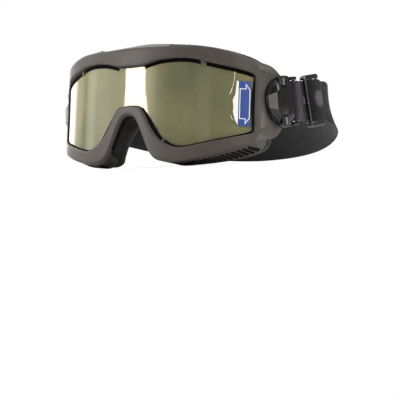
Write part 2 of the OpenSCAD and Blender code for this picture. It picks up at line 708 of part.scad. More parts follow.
// The webbing's hump over the slider's middle and rear bars
module slider_fold() {
    top = bars_up + slider_t + web_t / 2 + 0.12;
    foot = web_t + 0.15;
    front = front_bar + web_t / 2 + 0.6 - slider_l / 2;
    rear = slider_l / 2;
    path = [[front, foot], [front + 0.1, foot + 1.2], [front + 0.8, top - 0.7],
        [-1.8, top - 0.05], [0.2, top + 0.12], [2.6, top], [4.8, top - 0.4],
        [rear - 0.9, top - 0.75], [rear + 0.7, top - 1.4], [rear + 1.5, foot + 0.6],
        [rear + fold_over, foot]];
    row_solid([for (i = [0:len(path) - 1]) let (p = path[i],
        t = unit(path[min(i + 1, len(path) - 1)] - path[max(i - 1, 0)]) * web_t / 2)
        [for (q = [[1, 1], [-1, 1], [-1, -1], [1, -1]]) let (y = q[0] * web_w / 2)
            run_spot(slider_mid + p[0] + t[1] * q[1] - y * tan(slider_skew), y,
                p[1] - t[0] * q[1])]]);
}

frame();
lens_outer();
lens_spacer();
lens_inner();
lens_film();
film_tab();
face_foam();
foam_lining();
nose_shield();
for (side = ["left", "right"]) {
    color([0.1, 0.1, 0.1]) sided(side) vent_filter(top_front, top_rim, 1);
    color([0.1, 0.1, 0.1]) sided(side) vent_filter(low_front, low_rim, -1);
    color([0.2, 0.2, 0.2]) sided(side) pivot_post();
    color([0.08, 0.08, 0.08]) sided(side) clip_base();
    color([0.07, 0.07, 0.07]) sided(side) clip_cover();
    color([0.6, 0.6, 0.6]) sided(side) clip_screws();
    color([0.35, 0.35, 0.35]) sided(side) release_tab(plate1, true);
    color([0.35, 0.35, 0.35]) sided(side) release_tab(plate2, false);
    color([0.7, 0.7, 0.7]) sided(side) tab_spring();
    color([0.16, 0.15, 0.16]) sided(side) strap_tail();
    color([0.08, 0.08, 0.08]) sided(side) slider();
    color([0.2, 0.2, 0.21]) sided(side) slider_fold();
}
strap();
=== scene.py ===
# Airsoft goggles: looks, light and camera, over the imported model.
# Sizes are millimetres in the goggles' own axes, which the CAD source also uses: the
# bridge of the lens at the origin, -Y forwards, +X the wearer's left, +Z up. seated()
# leans them back and sets them down, and gives metres in the model's frame.
import bpy
import bmesh
import math
import numpy as np
from mathutils import Matrix, Vector


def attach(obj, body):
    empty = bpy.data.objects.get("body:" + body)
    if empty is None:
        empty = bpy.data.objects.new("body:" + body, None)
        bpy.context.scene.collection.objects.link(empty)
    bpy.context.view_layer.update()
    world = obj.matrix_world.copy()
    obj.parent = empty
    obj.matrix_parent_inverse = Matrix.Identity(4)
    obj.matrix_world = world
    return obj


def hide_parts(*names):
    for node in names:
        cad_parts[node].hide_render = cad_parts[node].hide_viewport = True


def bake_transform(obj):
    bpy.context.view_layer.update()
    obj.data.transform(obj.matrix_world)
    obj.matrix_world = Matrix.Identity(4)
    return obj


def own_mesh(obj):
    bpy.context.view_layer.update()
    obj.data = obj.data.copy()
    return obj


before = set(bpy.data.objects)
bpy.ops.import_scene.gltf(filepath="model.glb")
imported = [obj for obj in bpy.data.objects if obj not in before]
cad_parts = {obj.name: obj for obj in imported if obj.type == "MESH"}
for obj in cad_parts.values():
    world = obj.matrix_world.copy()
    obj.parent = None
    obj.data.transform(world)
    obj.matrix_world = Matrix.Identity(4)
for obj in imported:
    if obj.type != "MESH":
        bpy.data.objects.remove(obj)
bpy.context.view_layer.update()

# ---------------------------------------------------------------- sizes
LENS_R = 114.0
OUTER_T, SPACER_T, INNER_T, FILM_T = 1.8, 2.6, 1.2, 0.2
PANE_REACH, SPACER_SHOW, GAP_H = 0.9, 1.6, 2.8
WINDOW_HALF, WINDOW_CREST, WINDOW_DROP = 94.8, 34.4, 31.4
FRONT_HALF, FRONT_CREST, FRONT_DROP = 99.0, 44.0, 42.0
RIM_HALF, RIM_CREST, RIM_DROP = 95.8, 50.4, 42.6
RIM_BACK, WALL, BAND_PROUD, END_PROUD, FLANGE_W = 21.0, 2.4, 3.8, 1.3, 7.0
BAND_SIDE, RIM_EDGE = 2.4, 1.6
VENT_COUNT, VENT_W, VENT_SLANT, VENT_END, FILTER_T = 15, 2.3, 3.0, 8.6, 1.6
FOAM_T, LINING_T = 11.0, 1.4
ARM_TURN, ARM_T, PIVOT_BEHIND, PIVOT_IN, PIVOT_Z = 21.2, 4.5, 22.4, 9.2, 8.0
POST_R, POST_HOLE_R, CLIP_R, BASE_T, CLIP_TILT = 2.8, 7.0, 19.2, 2.2, 8.5
TAB_TRAVEL, SLIDER_BACK = 1.2, 3.5
WEB_W, WEB_T, SLIDER_L, SLIDER_T, SLIDER_AT = 30.0, 1.6, 16.0, 2.5, 19.2
SLIDER_SKEW, LEAN, SEAT_Y, SEAT_Z, REAR_LEAN, SIDE_LEAN = 6.5, 8.1, -96.22, 45.77, 18.0, 11.0
GAP = 0.2
END_TURN = FRONT_HALF / LENS_R
ARM_ANGLE = END_TURN + math.radians(ARM_TURN)
PIVOT = ((LENS_R - PIVOT_IN) * math.sin(END_TURN) + PIVOT_BEHIND * math.cos(END_TURN),
         LENS_R - (LENS_R - PIVOT_IN) * math.cos(END_TURN)
         + PIVOT_BEHIND * math.sin(END_TURN), PIVOT_Z)
VENT_START = FRONT_HALF / 3
VENT_PITCH = (FRONT_HALF - VENT_END - VENT_START) / (VENT_COUNT - 1)
SPACER_FRONT = OUTER_T + 0.05
INNER_FRONT = SPACER_FRONT + SPACER_T + 0.05
STACK_BACK = INNER_FRONT + INNER_T
GROOVE_W, GROOVE_FRONT, GROOVE_BACK = 2.2, -0.3, STACK_BACK + GAP
LIP_BACK = GROOVE_BACK + 1.8
BASE_BACK, PLATE_T = 0.3, 1.0
BASE_FRONT = BASE_BACK + BASE_T
PLATE1 = BASE_FRONT + GAP
PLATE2 = PLATE1 + PLATE_T + GAP
PLATE_X = POST_R + 0.2 + 0.9
COVER_REAR = PLATE_X + 0.9
BAR_R, BAR_UP, RUN_UP = 1.2, 3.9, 3.4
BAR_X = COVER_REAR + 3.1
WRAP_R = BAR_R + 0.15 + WEB_T / 2
RUN_TURN, RUN_FROM = math.radians(5), BAR_X + 5.4
HUMP_REACH = 2.6          # webbing of the hump that lies behind the slider
STRAIGHT_END = SLIDER_AT + SLIDER_L + HUMP_REACH + SLIDER_BACK + 0.6
BUTTON_X, BUTTON_Y = -6.2, 11.8
LOOP_MID = PIVOT[1] + 40.6

# One half of each outline, [arc, height] from the top middle round the side to the bridge
WINDOW_SHAPE = [(0, 29.3), (10, 29.5), (16, 31.2), (24, 33.2), (33, 34.2), (42, 34.4),
    (50, 33.6), (57, 32), (66, 30.3), (75, 28.8), (84, 27), (92, 25.1), (94.3, 23.6),
    (94.8, 21), (94.8, 12), (94.8, 3), (94.8, -6), (94.8, -15), (93.8, -18.4),
    (90, -20), (82, -22), (72, -24.5), (62, -26.9), (52, -29.4), (45, -31),
    (39.5, -31.4), (34, -30.2), (29, -27.8), (25, -25.2), (20.5, -20), (16, -12.6),
    (12.6, -5.8), (9.6, -1.8), (5, -0.3), (0, 0)]
FRONT_SHAPE = [(0, 43.6), (11, 43.5), (18, 43.4), (26, 43.5), (35, 43.8), (43, 44),
    (51, 43.8), (58, 43.1), (67, 41.8), (76, 39.8), (85, 37.2), (92.4, 34.8), (96.6, 32),
    (98.6, 27.6), (99, 14), (99, 3), (99, -8), (98.8, -17.5), (96.8, -24),
    (91.4, -27), (82.6, -30.2), (73, -33.4), (63, -36.6), (53.5, -39), (46, -40.6),
    (38.5, -41.8), (30.4, -42), (22.6, -40), (17.4, -34.4), (13.4, -26), (10.2, -18.4),
    (7.6, -13), (5, -9.4), (2.6, -7.9), (0, -7.5)]
RIM_SHAPE = [(0, 50.4), (11, 50), (18, 49.6), (26, 49), (35, 48.3), (43, 47.6),
    (50, 46.9), (56.5, 45.9), (64.5, 44.4), (72.5, 42.6), (80.5, 40.4), (88, 37.4),
    (92.6, 34), (95, 28.6), (95.8, 14), (95.8, 3), (95.8, -8), (95.4, -18), (93.6, -25.6),
    (89, -31), (79.5, -35.2), (69.5, -38.1), (59.5, -40), (50, -41.3), (43, -42.1),
    (37.5, -42.6), (32, -42.5), (27.6, -40.8), (25.4, -35.6), (22.2, -28.6), (18.2, -21.8),
    (13.6, -16.2), (8.8, -12.2), (4.2, -10.3), (0, -9.8)]
ARM_SHAPE = [(-23, 26), (-14, 25), (-8.5, 22.8), (-3.4, 19.4), (1.4, 17.4), (4, 0),
    (1.6, -17.4), (-0.6, -20.6), (-4, -25.2), (-7.4, -28), (-11, -29.2), (-23, -31.4)]
ARM_END_R, ARM_DRAWN_R = CLIP_R - 1.7, 17.5
# The strap behind its straight run: share of the run's end from the middle, and how far
# behind and below that end
STRAP_REAR = [(0.9962, 8.83, 0.78), (0.9668, 18.43, 3.58), (0.9117, 30.83, 6.98),
    (0.8124, 47.43, 10.38), (0.6948, 62.03, 13.18), (0.5496, 75.03, 15.38),
    (0.375, 85.43, 16.78), (0.193, 91.83, 17.48), (0, 94.23, 17.78)]


# ---------------------------------------------------------------- geometry
def unit(v):
    v = np.asarray(v, float)
    return v / np.linalg.norm(v)


def eased(u):
    c = min(1.0, max(0.0, u))
    return c * c * (3 - 2 * c)


def seated(points):
    """Goggle points in millimetres to the model's frame in metres."""
    p = np.asarray(points, float).reshape(-1, 3)
    c, s = math.cos(math.radians(LEAN)), math.sin(math.radians(LEAN))
    return np.stack([p[:, 0], p[:, 1] * c + p[:, 2] * s + SEAT_Y,
                     -p[:, 1] * s + p[:, 2] * c + SEAT_Z], 1) / 1000


def seated_direction(v):
    return unit(seated([v])[0] - seated([(0, 0, 0)])[0])


def place(p, depth, back=0.0):
    """A point at an arc and height on the lens, at a depth along its radius."""
    a, r = p[0] / LENS_R, LENS_R - depth
    return np.array([r * math.sin(a), back + LENS_R - r * math.cos(a), p[1]])


def span(a, b, ta, tb, u):
    """A point of the curve from a to b that leaves along ta and arrives along tb."""
    length = np.linalg.norm(b - a)
    return (a * (2 * u ** 3 - 3 * u * u + 1) + ta * length * (u ** 3 - 2 * u * u + u)
            + b * (3 * u * u - 2 * u ** 3) + tb * length * (u ** 3 - u * u))


def smooth_ring(points, steps):
    """A closed curve through points, in steps from each to the next."""
    p = [np.array(q, float) for q in points]
    n = len(p)
    t = [unit(p[(i + 1) % n] - p[i - 1]) for i in range(n)]
    return np.array([span(p[i], p[(i + 1) % n], t[i], t[(i + 1) % n], k / steps)
                     for i in range(n) for k in range(steps)])


def way_at(path, i):
    """Direction of an open path at its point i."""
    return unit(path[min(i + 1, len(path) - 1)] - path[max(i - 1, 0)])


def lengths_along(path):
    """Length of a path up to each of its points."""
    return np.concatenate([[0], np.cumsum(np.linalg.norm(np.diff(path, axis=0), axis=1))])


def smooth_line(points, steps, first=None, last=None):
    """An open curve through points, with its first and last directions if given."""
    p = [np.array(q, float) for q in points]
    n = len(p)
    t = [way_at(p, i) for i in range(n)]
    t[0] = t[0] if first is None else unit(first)
    t[-1] = t[-1] if last is None else unit(last)
    return np.array([span(p[i], p[i + 1], t[i], t[i + 1], k / steps)
                     for i in range(n - 1) for k in range(steps)] + [p[-1]])


def whole_outline(half, width, up, down, steps):
    """A half outline made to its width, height and drop, and closed by its mirror."""
    xs, ys = max(p[0] for p in half), [p[1] for p in half]
    fit = [(x * width / xs, y * (up / max(ys) if y > 0 else down / -min(ys)))
           for x, y in half]
    return smooth_ring(fit + [(-x, y) for x, y in fit[-2:0:-1]], steps)


RING_STEPS = 6
window_line = whole_outline(WINDOW_SHAPE, WINDOW_HALF, WINDOW_CREST, WINDOW_DROP, RING_STEPS)
front_line = whole_outline(FRONT_SHAPE, FRONT_HALF, FRONT_CREST, FRONT_DROP, RING_STEPS)
rim_line = whole_outline(RIM_SHAPE, RIM_HALF, RIM_CREST, RIM_DROP, RING_STEPS)
RING_N = len(window_line)
outwards = np.array([unit(f - w) for f, w in zip(front_line, window_line)])
QUARTER, HALF = RING_N // 4, RING_N // 2
ARCH_FOOT = 28 * RING_STEPS      # where the outlines turn up towards the bridge
# Stretches of the outlines that the upper and the lower vents lie along
UPPER_RUN = list(range(QUARTER + 1))
LOWER_RUN = list(range(ARCH_FOOT, ARCH_FOOT - 68, -1))
window_top = window_line[UPPER_RUN]
SIDES = ("left", "right")


def arm_point(x, y, z):
    """A point in the left arm's frame: x rearwards, y up, z outwards, from the pivot."""
    return np.array([PIVOT[0] + x * math.cos(ARM_ANGLE) + z * math.sin(ARM_ANGLE),
                     PIVOT[1] + x * math.sin(ARM_ANGLE) - z * math.cos(ARM_ANGLE),
                     PIVOT[2] + y])


def clip_point(x, y, z):
    """A point in the left clip's frame, which is the arm's turned by the clip's tilt."""
    t = math.radians(CLIP_TILT)
    return arm_point(x * math.cos(t) - y * math.sin(t), x * math.sin(t) + y * math.cos(t), z)


def run_point(d, y=0.0, h=0.0):
    """On the strap's straight run, at d from the pivot, y up its width, h off its face."""
    c, s = math.cos(RUN_TURN), math.sin(RUN_TURN)
    return clip_point(RUN_FROM + (d - RUN_FROM) * c + h * s, y,
                      RUN_UP - (d - RUN_FROM) * s + h * c)


def on_side(points, side):
    """Points of the wearer's left side, or their mirror images for the right."""
    return np.asarray(points, float) * (-1 if side == "right" else 1, 1, 1)


def height_at(line, s):
    """Height of a stretch of an outline at an arc."""
    return np.interp(s, line[:, 0], line[:, 1])


# ---------------------------------------------------------------- mesh makers
def new_piece(name, points, faces, materials, sides=None, smooth=35):
    """A mesh piece from seated points; sides gives each face's material number."""
    mesh = bpy.data.meshes.new(name)
    mesh.from_pydata([tuple(p) for p in points], [], [tuple(f) for f in faces])
    for m in materials:
        mesh.materials.append(m)
    if sides is not None:
        mesh.polygons.foreach_set("material_index", np.asarray(sides, np.int32))
    bm = bmesh.new()
    bm.from_mesh(mesh)
    bmesh.ops.recalc_face_normals(bm, faces=bm.faces)
    bm.to_mesh(mesh)
    bm.free()
    shade(mesh, smooth)
    return in_scene(name, mesh)


def in_scene(name, data):
    """A new object of the scene for a mesh, a lamp or a camera."""
    made = bpy.data.objects.new(name, data)
    bpy.context.scene.collection.objects.link(made)
    return made


def mesh_of(name, bm, materials):
    """The mesh that an edit ends in, with its materials."""
    mesh = bpy.data.meshes.new(name)
    bm.to_mesh(mesh)
    bm.free()
    for m in materials:
        mesh.materials.append(m)
    return mesh


def hull_mesh(name, groups, material):
    """One mesh of solids, each the convex hull of a group of goggle points."""
    bm = bmesh.new()
    for group in groups:
        bmesh.ops.convex_hull(bm, input=[bm.verts.new(p) for p in seated(group)])
    bmesh.ops.delete(bm, geom=[v for v in bm.verts if not v.link_faces], context="VERTS")
    bmesh.ops.recalc_face_normals(bm, faces=bm.faces)
    return mesh_of(name, bm, [material])


def shade(mesh, angle):
    """Smooth shading that breaks where faces meet at more than an angle in degrees."""
    mesh.polygons.foreach_set("use_smooth", np.ones(len(mesh.polygons), bool))
    mesh.set_sharp_from_angle(angle=math.radians(angle))


def settle(made, angle=35):
    """Applies the live modifiers of a piece and leaves a plain mesh."""
    bpy.context.view_layer.update()
    depsgraph = bpy.context.evaluated_depsgraph_get()
    done = bpy.data.meshes.new_from_object(made.evaluated_get(depsgraph))
    made.modifiers.clear()
    old, made.data = made.data, done
    if old.users == 0:
        bpy.data.meshes.remove(old)
    shade(made.data, angle)
    return made


def ring_faces(count, around, closed=True):
    """Quads between count sections of around points; open rows get end caps."""
    faces = []
    for i in range(count if closed else count - 1):
        j = (i + 1) % count
        for k in range(around):
            m = (k + 1) % around
            faces.append((i * around + k, i * around + m, j * around + m, j * around + k))
    if not closed:
        faces.append(tuple(range(around)))
        faces.append(tuple((count - 1) * around + k for k in range(around)))
    return faces


def prism_faces(n):
    """Faces of a solid between a lower and an upper outline of n points each."""
    return [tuple(range(n)), tuple(range(n, 2 * n))] + \
        [(i, (i + 1) % n, n + (i + 1) % n, n + i) for i in range(n)]


def lofted(name, sections, materials, closed=True, side="left", **settings):
    """A skin over a row of sections that have the same number of goggle points."""
    points = on_side([p for section in sections for p in section], side)
    faces = ring_faces(len(sections), len(sections[0]), closed)
    return new_piece(name, seated(points), faces, materials, **settings)


def rounded(section, cuts):
    """Rounds corners of a closed section: cuts holds each corner's share of its edges."""
    out = []
    n = len(section)
    for i, p in enumerate(section):
        c = cuts[i]
        if c <= 0:
            out.append(p)
            continue
        a, b = p + (section[i - 1] - p) * c, p + (section[(i + 1) % n] - p) * c
        out += [a, (a + 2 * p + b) / 4, b]
    return out


def paint_uv(mesh, uv_of_vertex):
    """One UV pair per vertex, written to the piece's own map."""
    layer = mesh.uv_layers.new(name="weave")
    loops = np.empty(len(mesh.loops), np.int32)
    mesh.loops.foreach_get("vertex_index", loops)
    layer.data.foreach_set("uv", np.asarray(uv_of_vertex, np.float32)[loops].ravel())


# ---------------------------------------------------------------- materials
def srgb(value):
    """#rrggbb, as seen on a screen, to the linear colour that a shader takes."""
    c = [int(value[i:i + 2], 16) / 255 for i in (1, 3, 5)]
    return tuple(v / 12.92 if v <= 0.04045 else ((v + 0.055) / 1.055) ** 2.4
                 for v in c) + (1.0,)


def add(tree, kind, links=None, **settings):
    """Adds a node; links holds a value or another node's socket for each input."""
    made = tree.nodes.new(kind)
    for key, value in settings.items():
        setattr(made, key, value)
    for key, value in (links or {}).items():
        if isinstance(value, bpy.types.NodeSocket):
            tree.links.new(value, made.inputs[key])
        else:
            made.inputs[key].default_value = value
    return made


def finish_of(name, base, roughness, ior=1.5, **sockets):
    """A Principled material whose plain values sit on the shader's own sockets."""
    made = bpy.data.materials.new(name)
    made.use_nodes = True
    tree = made.node_tree
    shader = tree.nodes["Principled BSDF"]
    shader.inputs["Base Color"].default_value = srgb(base)
    shader.inputs["Roughness"].default_value = roughness
    shader.inputs["IOR"].default_value = ior
    for key, value in sockets.items():
        shader.inputs[key.replace("_", " ")].default_value = value
    return made, tree, shader


def grain(tree, shader, scale, strength, distance, detail=4.0):
    """Fine surface relief from noise whose size is 1000 / scale in millimetres."""
    where = add(tree, "ShaderNodeTexCoord")
    noise = add(tree, "ShaderNodeTexNoise", {"Vector": where.outputs["Object"],
                "Scale": scale, "Detail": detail, "Roughness": 0.6})
    bump = add(tree, "ShaderNodeBump", {"Height": noise.outputs["Fac"],
               "Strength": strength, "Distance": distance})
    tree.links.new(bump.outputs["Normal"], shader.inputs["Normal"])
    return where, noise


def moulded_elastomer():
    """Soft injection-moulded TPU: warm grey and finely spark-eroded, with a low, soft
    gloss, slightly paler worn edges and faint clouding from the flow of the melt."""
    made, tree, shader = finish_of("moulded elastomer", "#544e4a", 0.5, 1.49,
                                   Specular_IOR_Level=0.11)
    where, fine = grain(tree, shader, 1500, 0.25, 0.0001)
    cloud = add(tree, "ShaderNodeTexNoise", {"Vector": where.outputs["Object"],
                "Scale": 28.0, "Detail": 3.0})
    tone = add(tree, "ShaderNodeValToRGB", {"Fac": cloud.outputs["Fac"]})
    dark, pale = tone.color_ramp.elements
    dark.position, dark.color = 0.3, srgb("#4c4743")
    pale.position, pale.color = 0.7, srgb("#57514d")
    edge = add(tree, "ShaderNodeNewGeometry")
    worn = add(tree, "ShaderNodeMapRange", {"Value": edge.outputs["Pointiness"],
               "From Min": 0.53, "From Max": 0.62, "To Max": 0.6})
    mixed = add(tree, "ShaderNodeMix", {0: worn.outputs["Result"]}, data_type="RGBA")
    tree.links.new(tone.outputs["Color"], mixed.inputs["A"])
    mixed.inputs["B"].default_value = srgb("#857d77")
    tree.links.new(mixed.outputs["Result"], shader.inputs["Base Color"])
    rough = add(tree, "ShaderNodeMapRange", {"Value": fine.outputs["Fac"],
                "To Min": 0.40, "To Max": 0.52})
    tree.links.new(rough.outputs["Result"], shader.inputs["Roughness"])
    return made


def olive_polycarbonate():
    """Moulded polycarbonate with an olive tint and a hard coat: glossy, slightly
    see-through, with faint brown and green clouds in the tint."""
    made, tree, shader = finish_of("olive polycarbonate", "#75765a", 0.05, 1.585, Alpha=0.97,
                                   Specular_Tint=srgb("#fff5d2"))
    where = add(tree, "ShaderNodeTexCoord")
    cloud = add(tree, "ShaderNodeTexNoise", {"Vector": where.outputs["Object"],
                "Scale": 22.0, "Detail": 1.5})
    tint = add(tree, "ShaderNodeValToRGB", {"Fac": cloud.outputs["Fac"]})
    green, brown = tint.color_ramp.elements
    green.position, green.color = 0.35, srgb("#6c7054")
    brown.position, brown.color = 0.68, srgb("#87815d")
    tree.links.new(tint.outputs["Color"], shader.inputs["Base Color"])
    ripple = add(tree, "ShaderNodeTexNoise", {"Vector": where.outputs["Object"],
                 "Scale": 45.0, "Detail": 1.0})
    bump = add(tree, "ShaderNodeBump", {"Height": ripple.outputs["Fac"],
               "Strength": 0.04, "Distance": 0.0006})
    tree.links.new(bump.outputs["Normal"], shader.inputs["Normal"])
    made.surface_render_method = "BLENDED"
    return made


def clear_film():
    """Thin polyethylene peel film: nearly invisible, glossy where it lifts."""
    made = finish_of("clear film", "#8f8f70", 0.1, 1.5, Alpha=0.03)[0]
    made.surface_render_method = "BLENDED"
    return made


def milky_film_and_highlight():
    """Lifted, doubled edge of the film, where the air under it makes it milky; its near-white
    is partly a painted highlight.
    """
    made, tree, shader = finish_of("milky film edge and painted highlight", "#fffcf0", 0.35, 1.5)
    grain(tree, shader, 600, 0.3, 0.0002)
    return made


def printed_film(name, colour):
    """Ink on a plastic label: satin, even, with a slight paper-like mottle."""
    made, tree, shader = finish_of(name, colour, 0.38, 1.5)
    grain(tree, shader, 900, 0.12, 0.0001)
    return made


def gloss_abs(name="gloss ABS", base="#0f0f0e", low=0.12, high=0.26):
    """Black ABS from a polished mould: glossy, with hair scratches from handling."""
    made, tree, shader = finish_of(name, base, 0.2, 1.54)
    where = add(tree, "ShaderNodeTexCoord")
    stretch = add(tree, "ShaderNodeMapping", {"Vector": where.outputs["Object"],
                  "Rotation": (0.4, 0.2, 0.9), "Scale": (1, 9, 1)})
    hair = add(tree, "ShaderNodeTexNoise", {"Vector": stretch.outputs["Vector"],
               "Scale": 260.0, "Detail": 5.0})
    rough = add(tree, "ShaderNodeMapRange", {"Value": hair.outputs["Fac"],
                "From Min": 0.35, "From Max": 0.7, "To Min": low, "To Max": high})
    tree.links.new(rough.outputs["Result"], shader.inputs["Roughness"])
    bump = add(tree, "ShaderNodeBump", {"Height": hair.outputs["Fac"],
               "Strength": 0.06, "Distance": 0.0001})
    tree.links.new(bump.outputs["Normal"], shader.inputs["Normal"])
    return made


def satin_nylon(name, base, rough=0.4):
    """Glass-filled nylon: satin, with a fine sandy skin."""
    made, tree, shader = finish_of(name, base, rough, 1.53)
    grain(tree, shader, 1800, 0.2, 0.0001)
    return made


def plated_steel():
    """Zinc-plated steel: bright but soft, with fine turning marks."""
    made, tree, shader = finish_of("plated steel", "#c9c7c2", 0.32, 1.5, Metallic=1.0)
    grain(tree, shader, 3000, 0.1, 0.00005)
    return made


def cut_foam(name, base, pore=900.0, sheen=0.15, gloss=0.4):
    """Cut polyurethane foam: very matt, covered in pores of about a millimetre."""
    made, tree, shader = finish_of(name, base, 0.95, 1.4, Sheen_Weight=sheen,
                                   Specular_IOR_Level=gloss)
    where = add(tree, "ShaderNodeTexCoord")
    pores = add(tree, "ShaderNodeTexVoronoi", {"Vector": where.outputs["Object"],
                "Scale": pore})
    shadow = add(tree, "ShaderNodeValToRGB", {"Fac": pores.outputs["Distance"]})
    deep, skin = shadow.color_ramp.elements
    deep.position, deep.color = 0.1, tuple(0.45 * c for c in srgb(base)[:3]) + (1,)
    skin.position, skin.color = 0.6, srgb(base)
    tree.links.new(shadow.outputs["Color"], shader.inputs["Base Color"])
    bump = add(tree, "ShaderNodeBump", {"Height": pores.outputs["Distance"],
               "Strength": 0.5, "Distance": 0.0004})
    tree.links.new(bump.outputs["Normal"], shader.inputs["Normal"])
    return made


def brushed_lining():
    """Knitted lining with a short brushed pile: soft, with a pale sheen at its edges."""
    made, tree, shader = finish_of("brushed lining", "#2a2929", 0.9, 1.45,
                                   Sheen_Weight=0.4, Sheen_Roughness=0.4)
    grain(tree, shader, 1400, 0.6, 0.0003, detail=6.0)
    return made


HUMP_ALONG = 1.0          # the hump's weave starts here, past the end of the strap's
PALE_PATCH_AT = (HUMP_ALONG + 0.0110, 0.0014)      # a paler patch on the hump


def elastic_webbing():
    """Woven elastic webbing. Cross ribs every 1.25 mm and warp cords every 1.7 mm: a
    real weave is half as coarse, and wouldn't show at this size. Handled and greyed
    beside the clip; from the slider on, darkened to near black as painted shade."""
    made, tree, shader = finish_of("elastic webbing", "#2c292d", 0.82, 1.5,
                                   Sheen_Weight=0.12, Sheen_Roughness=0.35,
                                   Specular_IOR_Level=0.3)
    uv = add(tree, "ShaderNodeUVMap", uv_map="weave")
    split = add(tree, "ShaderNodeSeparateXYZ", {"Vector": uv.outputs["UV"]})
    rib_m, cord_m = 0.00125, 0.0017

    def wave(source, size, shift=None):
        scaled = add(tree, "ShaderNodeMath", {0: source, 1: 2 * math.pi / size},
                     operation="MULTIPLY")
        last = scaled.outputs[0]
        if shift is not None:
            last = add(tree, "ShaderNodeMath", {0: last, 1: shift}).outputs[0]
        return add(tree, "ShaderNodeMath", {0: last}, operation="SINE").outputs[0]

    across = wave(split.outputs["Y"], cord_m)
    turned = add(tree, "ShaderNodeMath", {0: across, 1: 1.1}, operation="MULTIPLY")
    along = wave(split.outputs["X"], rib_m, turned.outputs[0])
    both = add(tree, "ShaderNodeMath", {0: along, 1: across})
    level = add(tree, "ShaderNodeMapRange", {"Value": both.outputs[0],
                "From Min": -2.0, "From Max": 2.0})
    tone = add(tree, "ShaderNodeValToRGB", {"Fac": level.outputs["Result"]})
    gaps, cords = tone.color_ramp.elements
    gaps.color, cords.color = srgb("#19171a"), srgb("#403c41")
    where = add(tree, "ShaderNodeTexCoord")
    dust = add(tree, "ShaderNodeTexNoise", {"Vector": where.outputs["Object"],
               "Scale": 90.0, "Detail": 5.0})
    dusty = add(tree, "ShaderNodeMapRange", {"Value": dust.outputs["Fac"],
                "From Min": 0.52, "From Max": 0.75, "To Max": 0.35})
    mixed = add(tree, "ShaderNodeMix", {0: dusty.outputs["Result"]}, data_type="RGBA")
    tree.links.new(tone.outputs["Color"], mixed.inputs["A"])
    mixed.inputs["B"].default_value = srgb("#4a464c")
    # From 30 to 50 mm along, the webbing darkens to near black: painted shade on the strap's
    # rear and on the hump
    rear_shade_share = add(tree, "ShaderNodeMapRange", {"Value": split.outputs["X"],
                 "From Min": 0.03, "From Max": 0.05, "To Max": 0.95})
    rear_shaded = add(tree, "ShaderNodeMix", {0: rear_shade_share.outputs["Result"]}, data_type="RGBA")
    tree.links.new(mixed.outputs["Result"], rear_shaded.inputs["A"])
    rear_shaded.inputs["B"].default_value = srgb("#131212")
    away = add(tree, "ShaderNodeVectorMath", {0: uv.outputs["UV"], 1: (*PALE_PATCH_AT, 0)},
               operation="DISTANCE")
    ragged = add(tree, "ShaderNodeMath", {0: dust.outputs["Fac"], 1: 0.006,
                 2: away.outputs["Value"]}, operation="MULTIPLY_ADD")
    paled = add(tree, "ShaderNodeMapRange", {"Value": ragged.outputs[0],
                 "From Min": 0.0100, "From Max": 0.0076, "To Max": 0.75})
    patched = add(tree, "ShaderNodeMix", {0: paled.outputs["Result"]}, data_type="RGBA")
    tree.links.new(rear_shaded.outputs["Result"], patched.inputs["A"])
    patched.inputs["B"].default_value = srgb("#56525a")
    tree.links.new(patched.outputs["Result"], shader.inputs["Base Color"])
    bump = add(tree, "ShaderNodeBump", {"Height": level.outputs["Result"],
               "Strength": 0.7, "Distance": 0.0004})
    tree.links.new(bump.outputs["Normal"], shader.inputs["Normal"])
    return made


def sewing_thread():
    """Twisted polyester thread, light grey."""
    made, tree, shader = finish_of("sewing thread", "#8e8a8c", 0.6, 1.5, Sheen_Weight=0.3)
    grain(tree, shader, 5000, 0.5, 0.0001)
    return made


def shield_rubber_and_shade():
    """Thin black moulded rubber: matt, with a slight waxy bloom. The same black is painted
    shade on the vents' cut walls and on the wall behind the bridge.
    """
    made, tree, shader = finish_of("shield rubber and painted shade", "#141312", 0.7, 1.5,
                                   Specular_IOR_Level=0.2)
    grain(tree, shader, 1200, 0.2, 0.0001)
    return made


def shade_lip_black():
    """Painted shade: soot-black, no gloss at all, a little pitted; it stands for the dark gap
    and the shaded wall round the window.
    """
    made, tree, shader = finish_of("painted shade lip black", "#0e0d0b", 0.9, 1.45,
                                   Specular_IOR_Level=0.08)
    grain(tree, shader, 900, 0.4, 0.0002)
    return made


ELASTOMER = moulded_elastomer()
SHIELD_AND_SHADE_BLACK = shield_rubber_and_shade()
SHADE_LIP_BLACK = shade_lip_black()
LENS = olive_polycarbonate()
FILM = clear_film()
MILKY_FILM_AND_HIGHLIGHT = milky_film_and_highlight()
LABEL_BLUE = printed_film("blue printed film", "#2f4a8c")
LABEL_WHITE = printed_film("white ink", "#eef1f5")
CLIP_ABS = gloss_abs()
SLIDER_ABS = gloss_abs("slider acetal", "#131314", 0.16, 0.3)
# Pale grey for the clips' grip facets: a painted reflection
FACET_PAINTED_REFLECTION = satin_nylon("grip facet painted reflection", "#625d59", 0.42)
# Pale grey on the bevels of the clips' shells and the sliders: a painted edge highlight
EDGE_HIGHLIGHT_ABS = satin_nylon("painted edge highlight", "#6e6b68", 0.35)
# Pale grey for the release tabs' ribbed buttons, partly a painted highlight on the ribs
TAB_GREY_AND_HIGHLIGHT = satin_nylon("ribbed tab grey and painted highlight", "#83827c")
POST_NYLON = satin_nylon("black nylon", "#232322", 0.45)
STEEL = plated_steel()
FACE_FOAM = cut_foam("face foam", "#262625", 1100.0)
FILTER_FOAM = cut_foam("filter foam", "#0f0f0e", 700.0, 0.0, 0.1)
SPACER_FOAM = cut_foam("spacer foam", "#10100e", 1600.0, 0.0, 0.1)
LINING = brushed_lining()
WEBBING = elastic_webbing()
THREAD = sewing_thread()

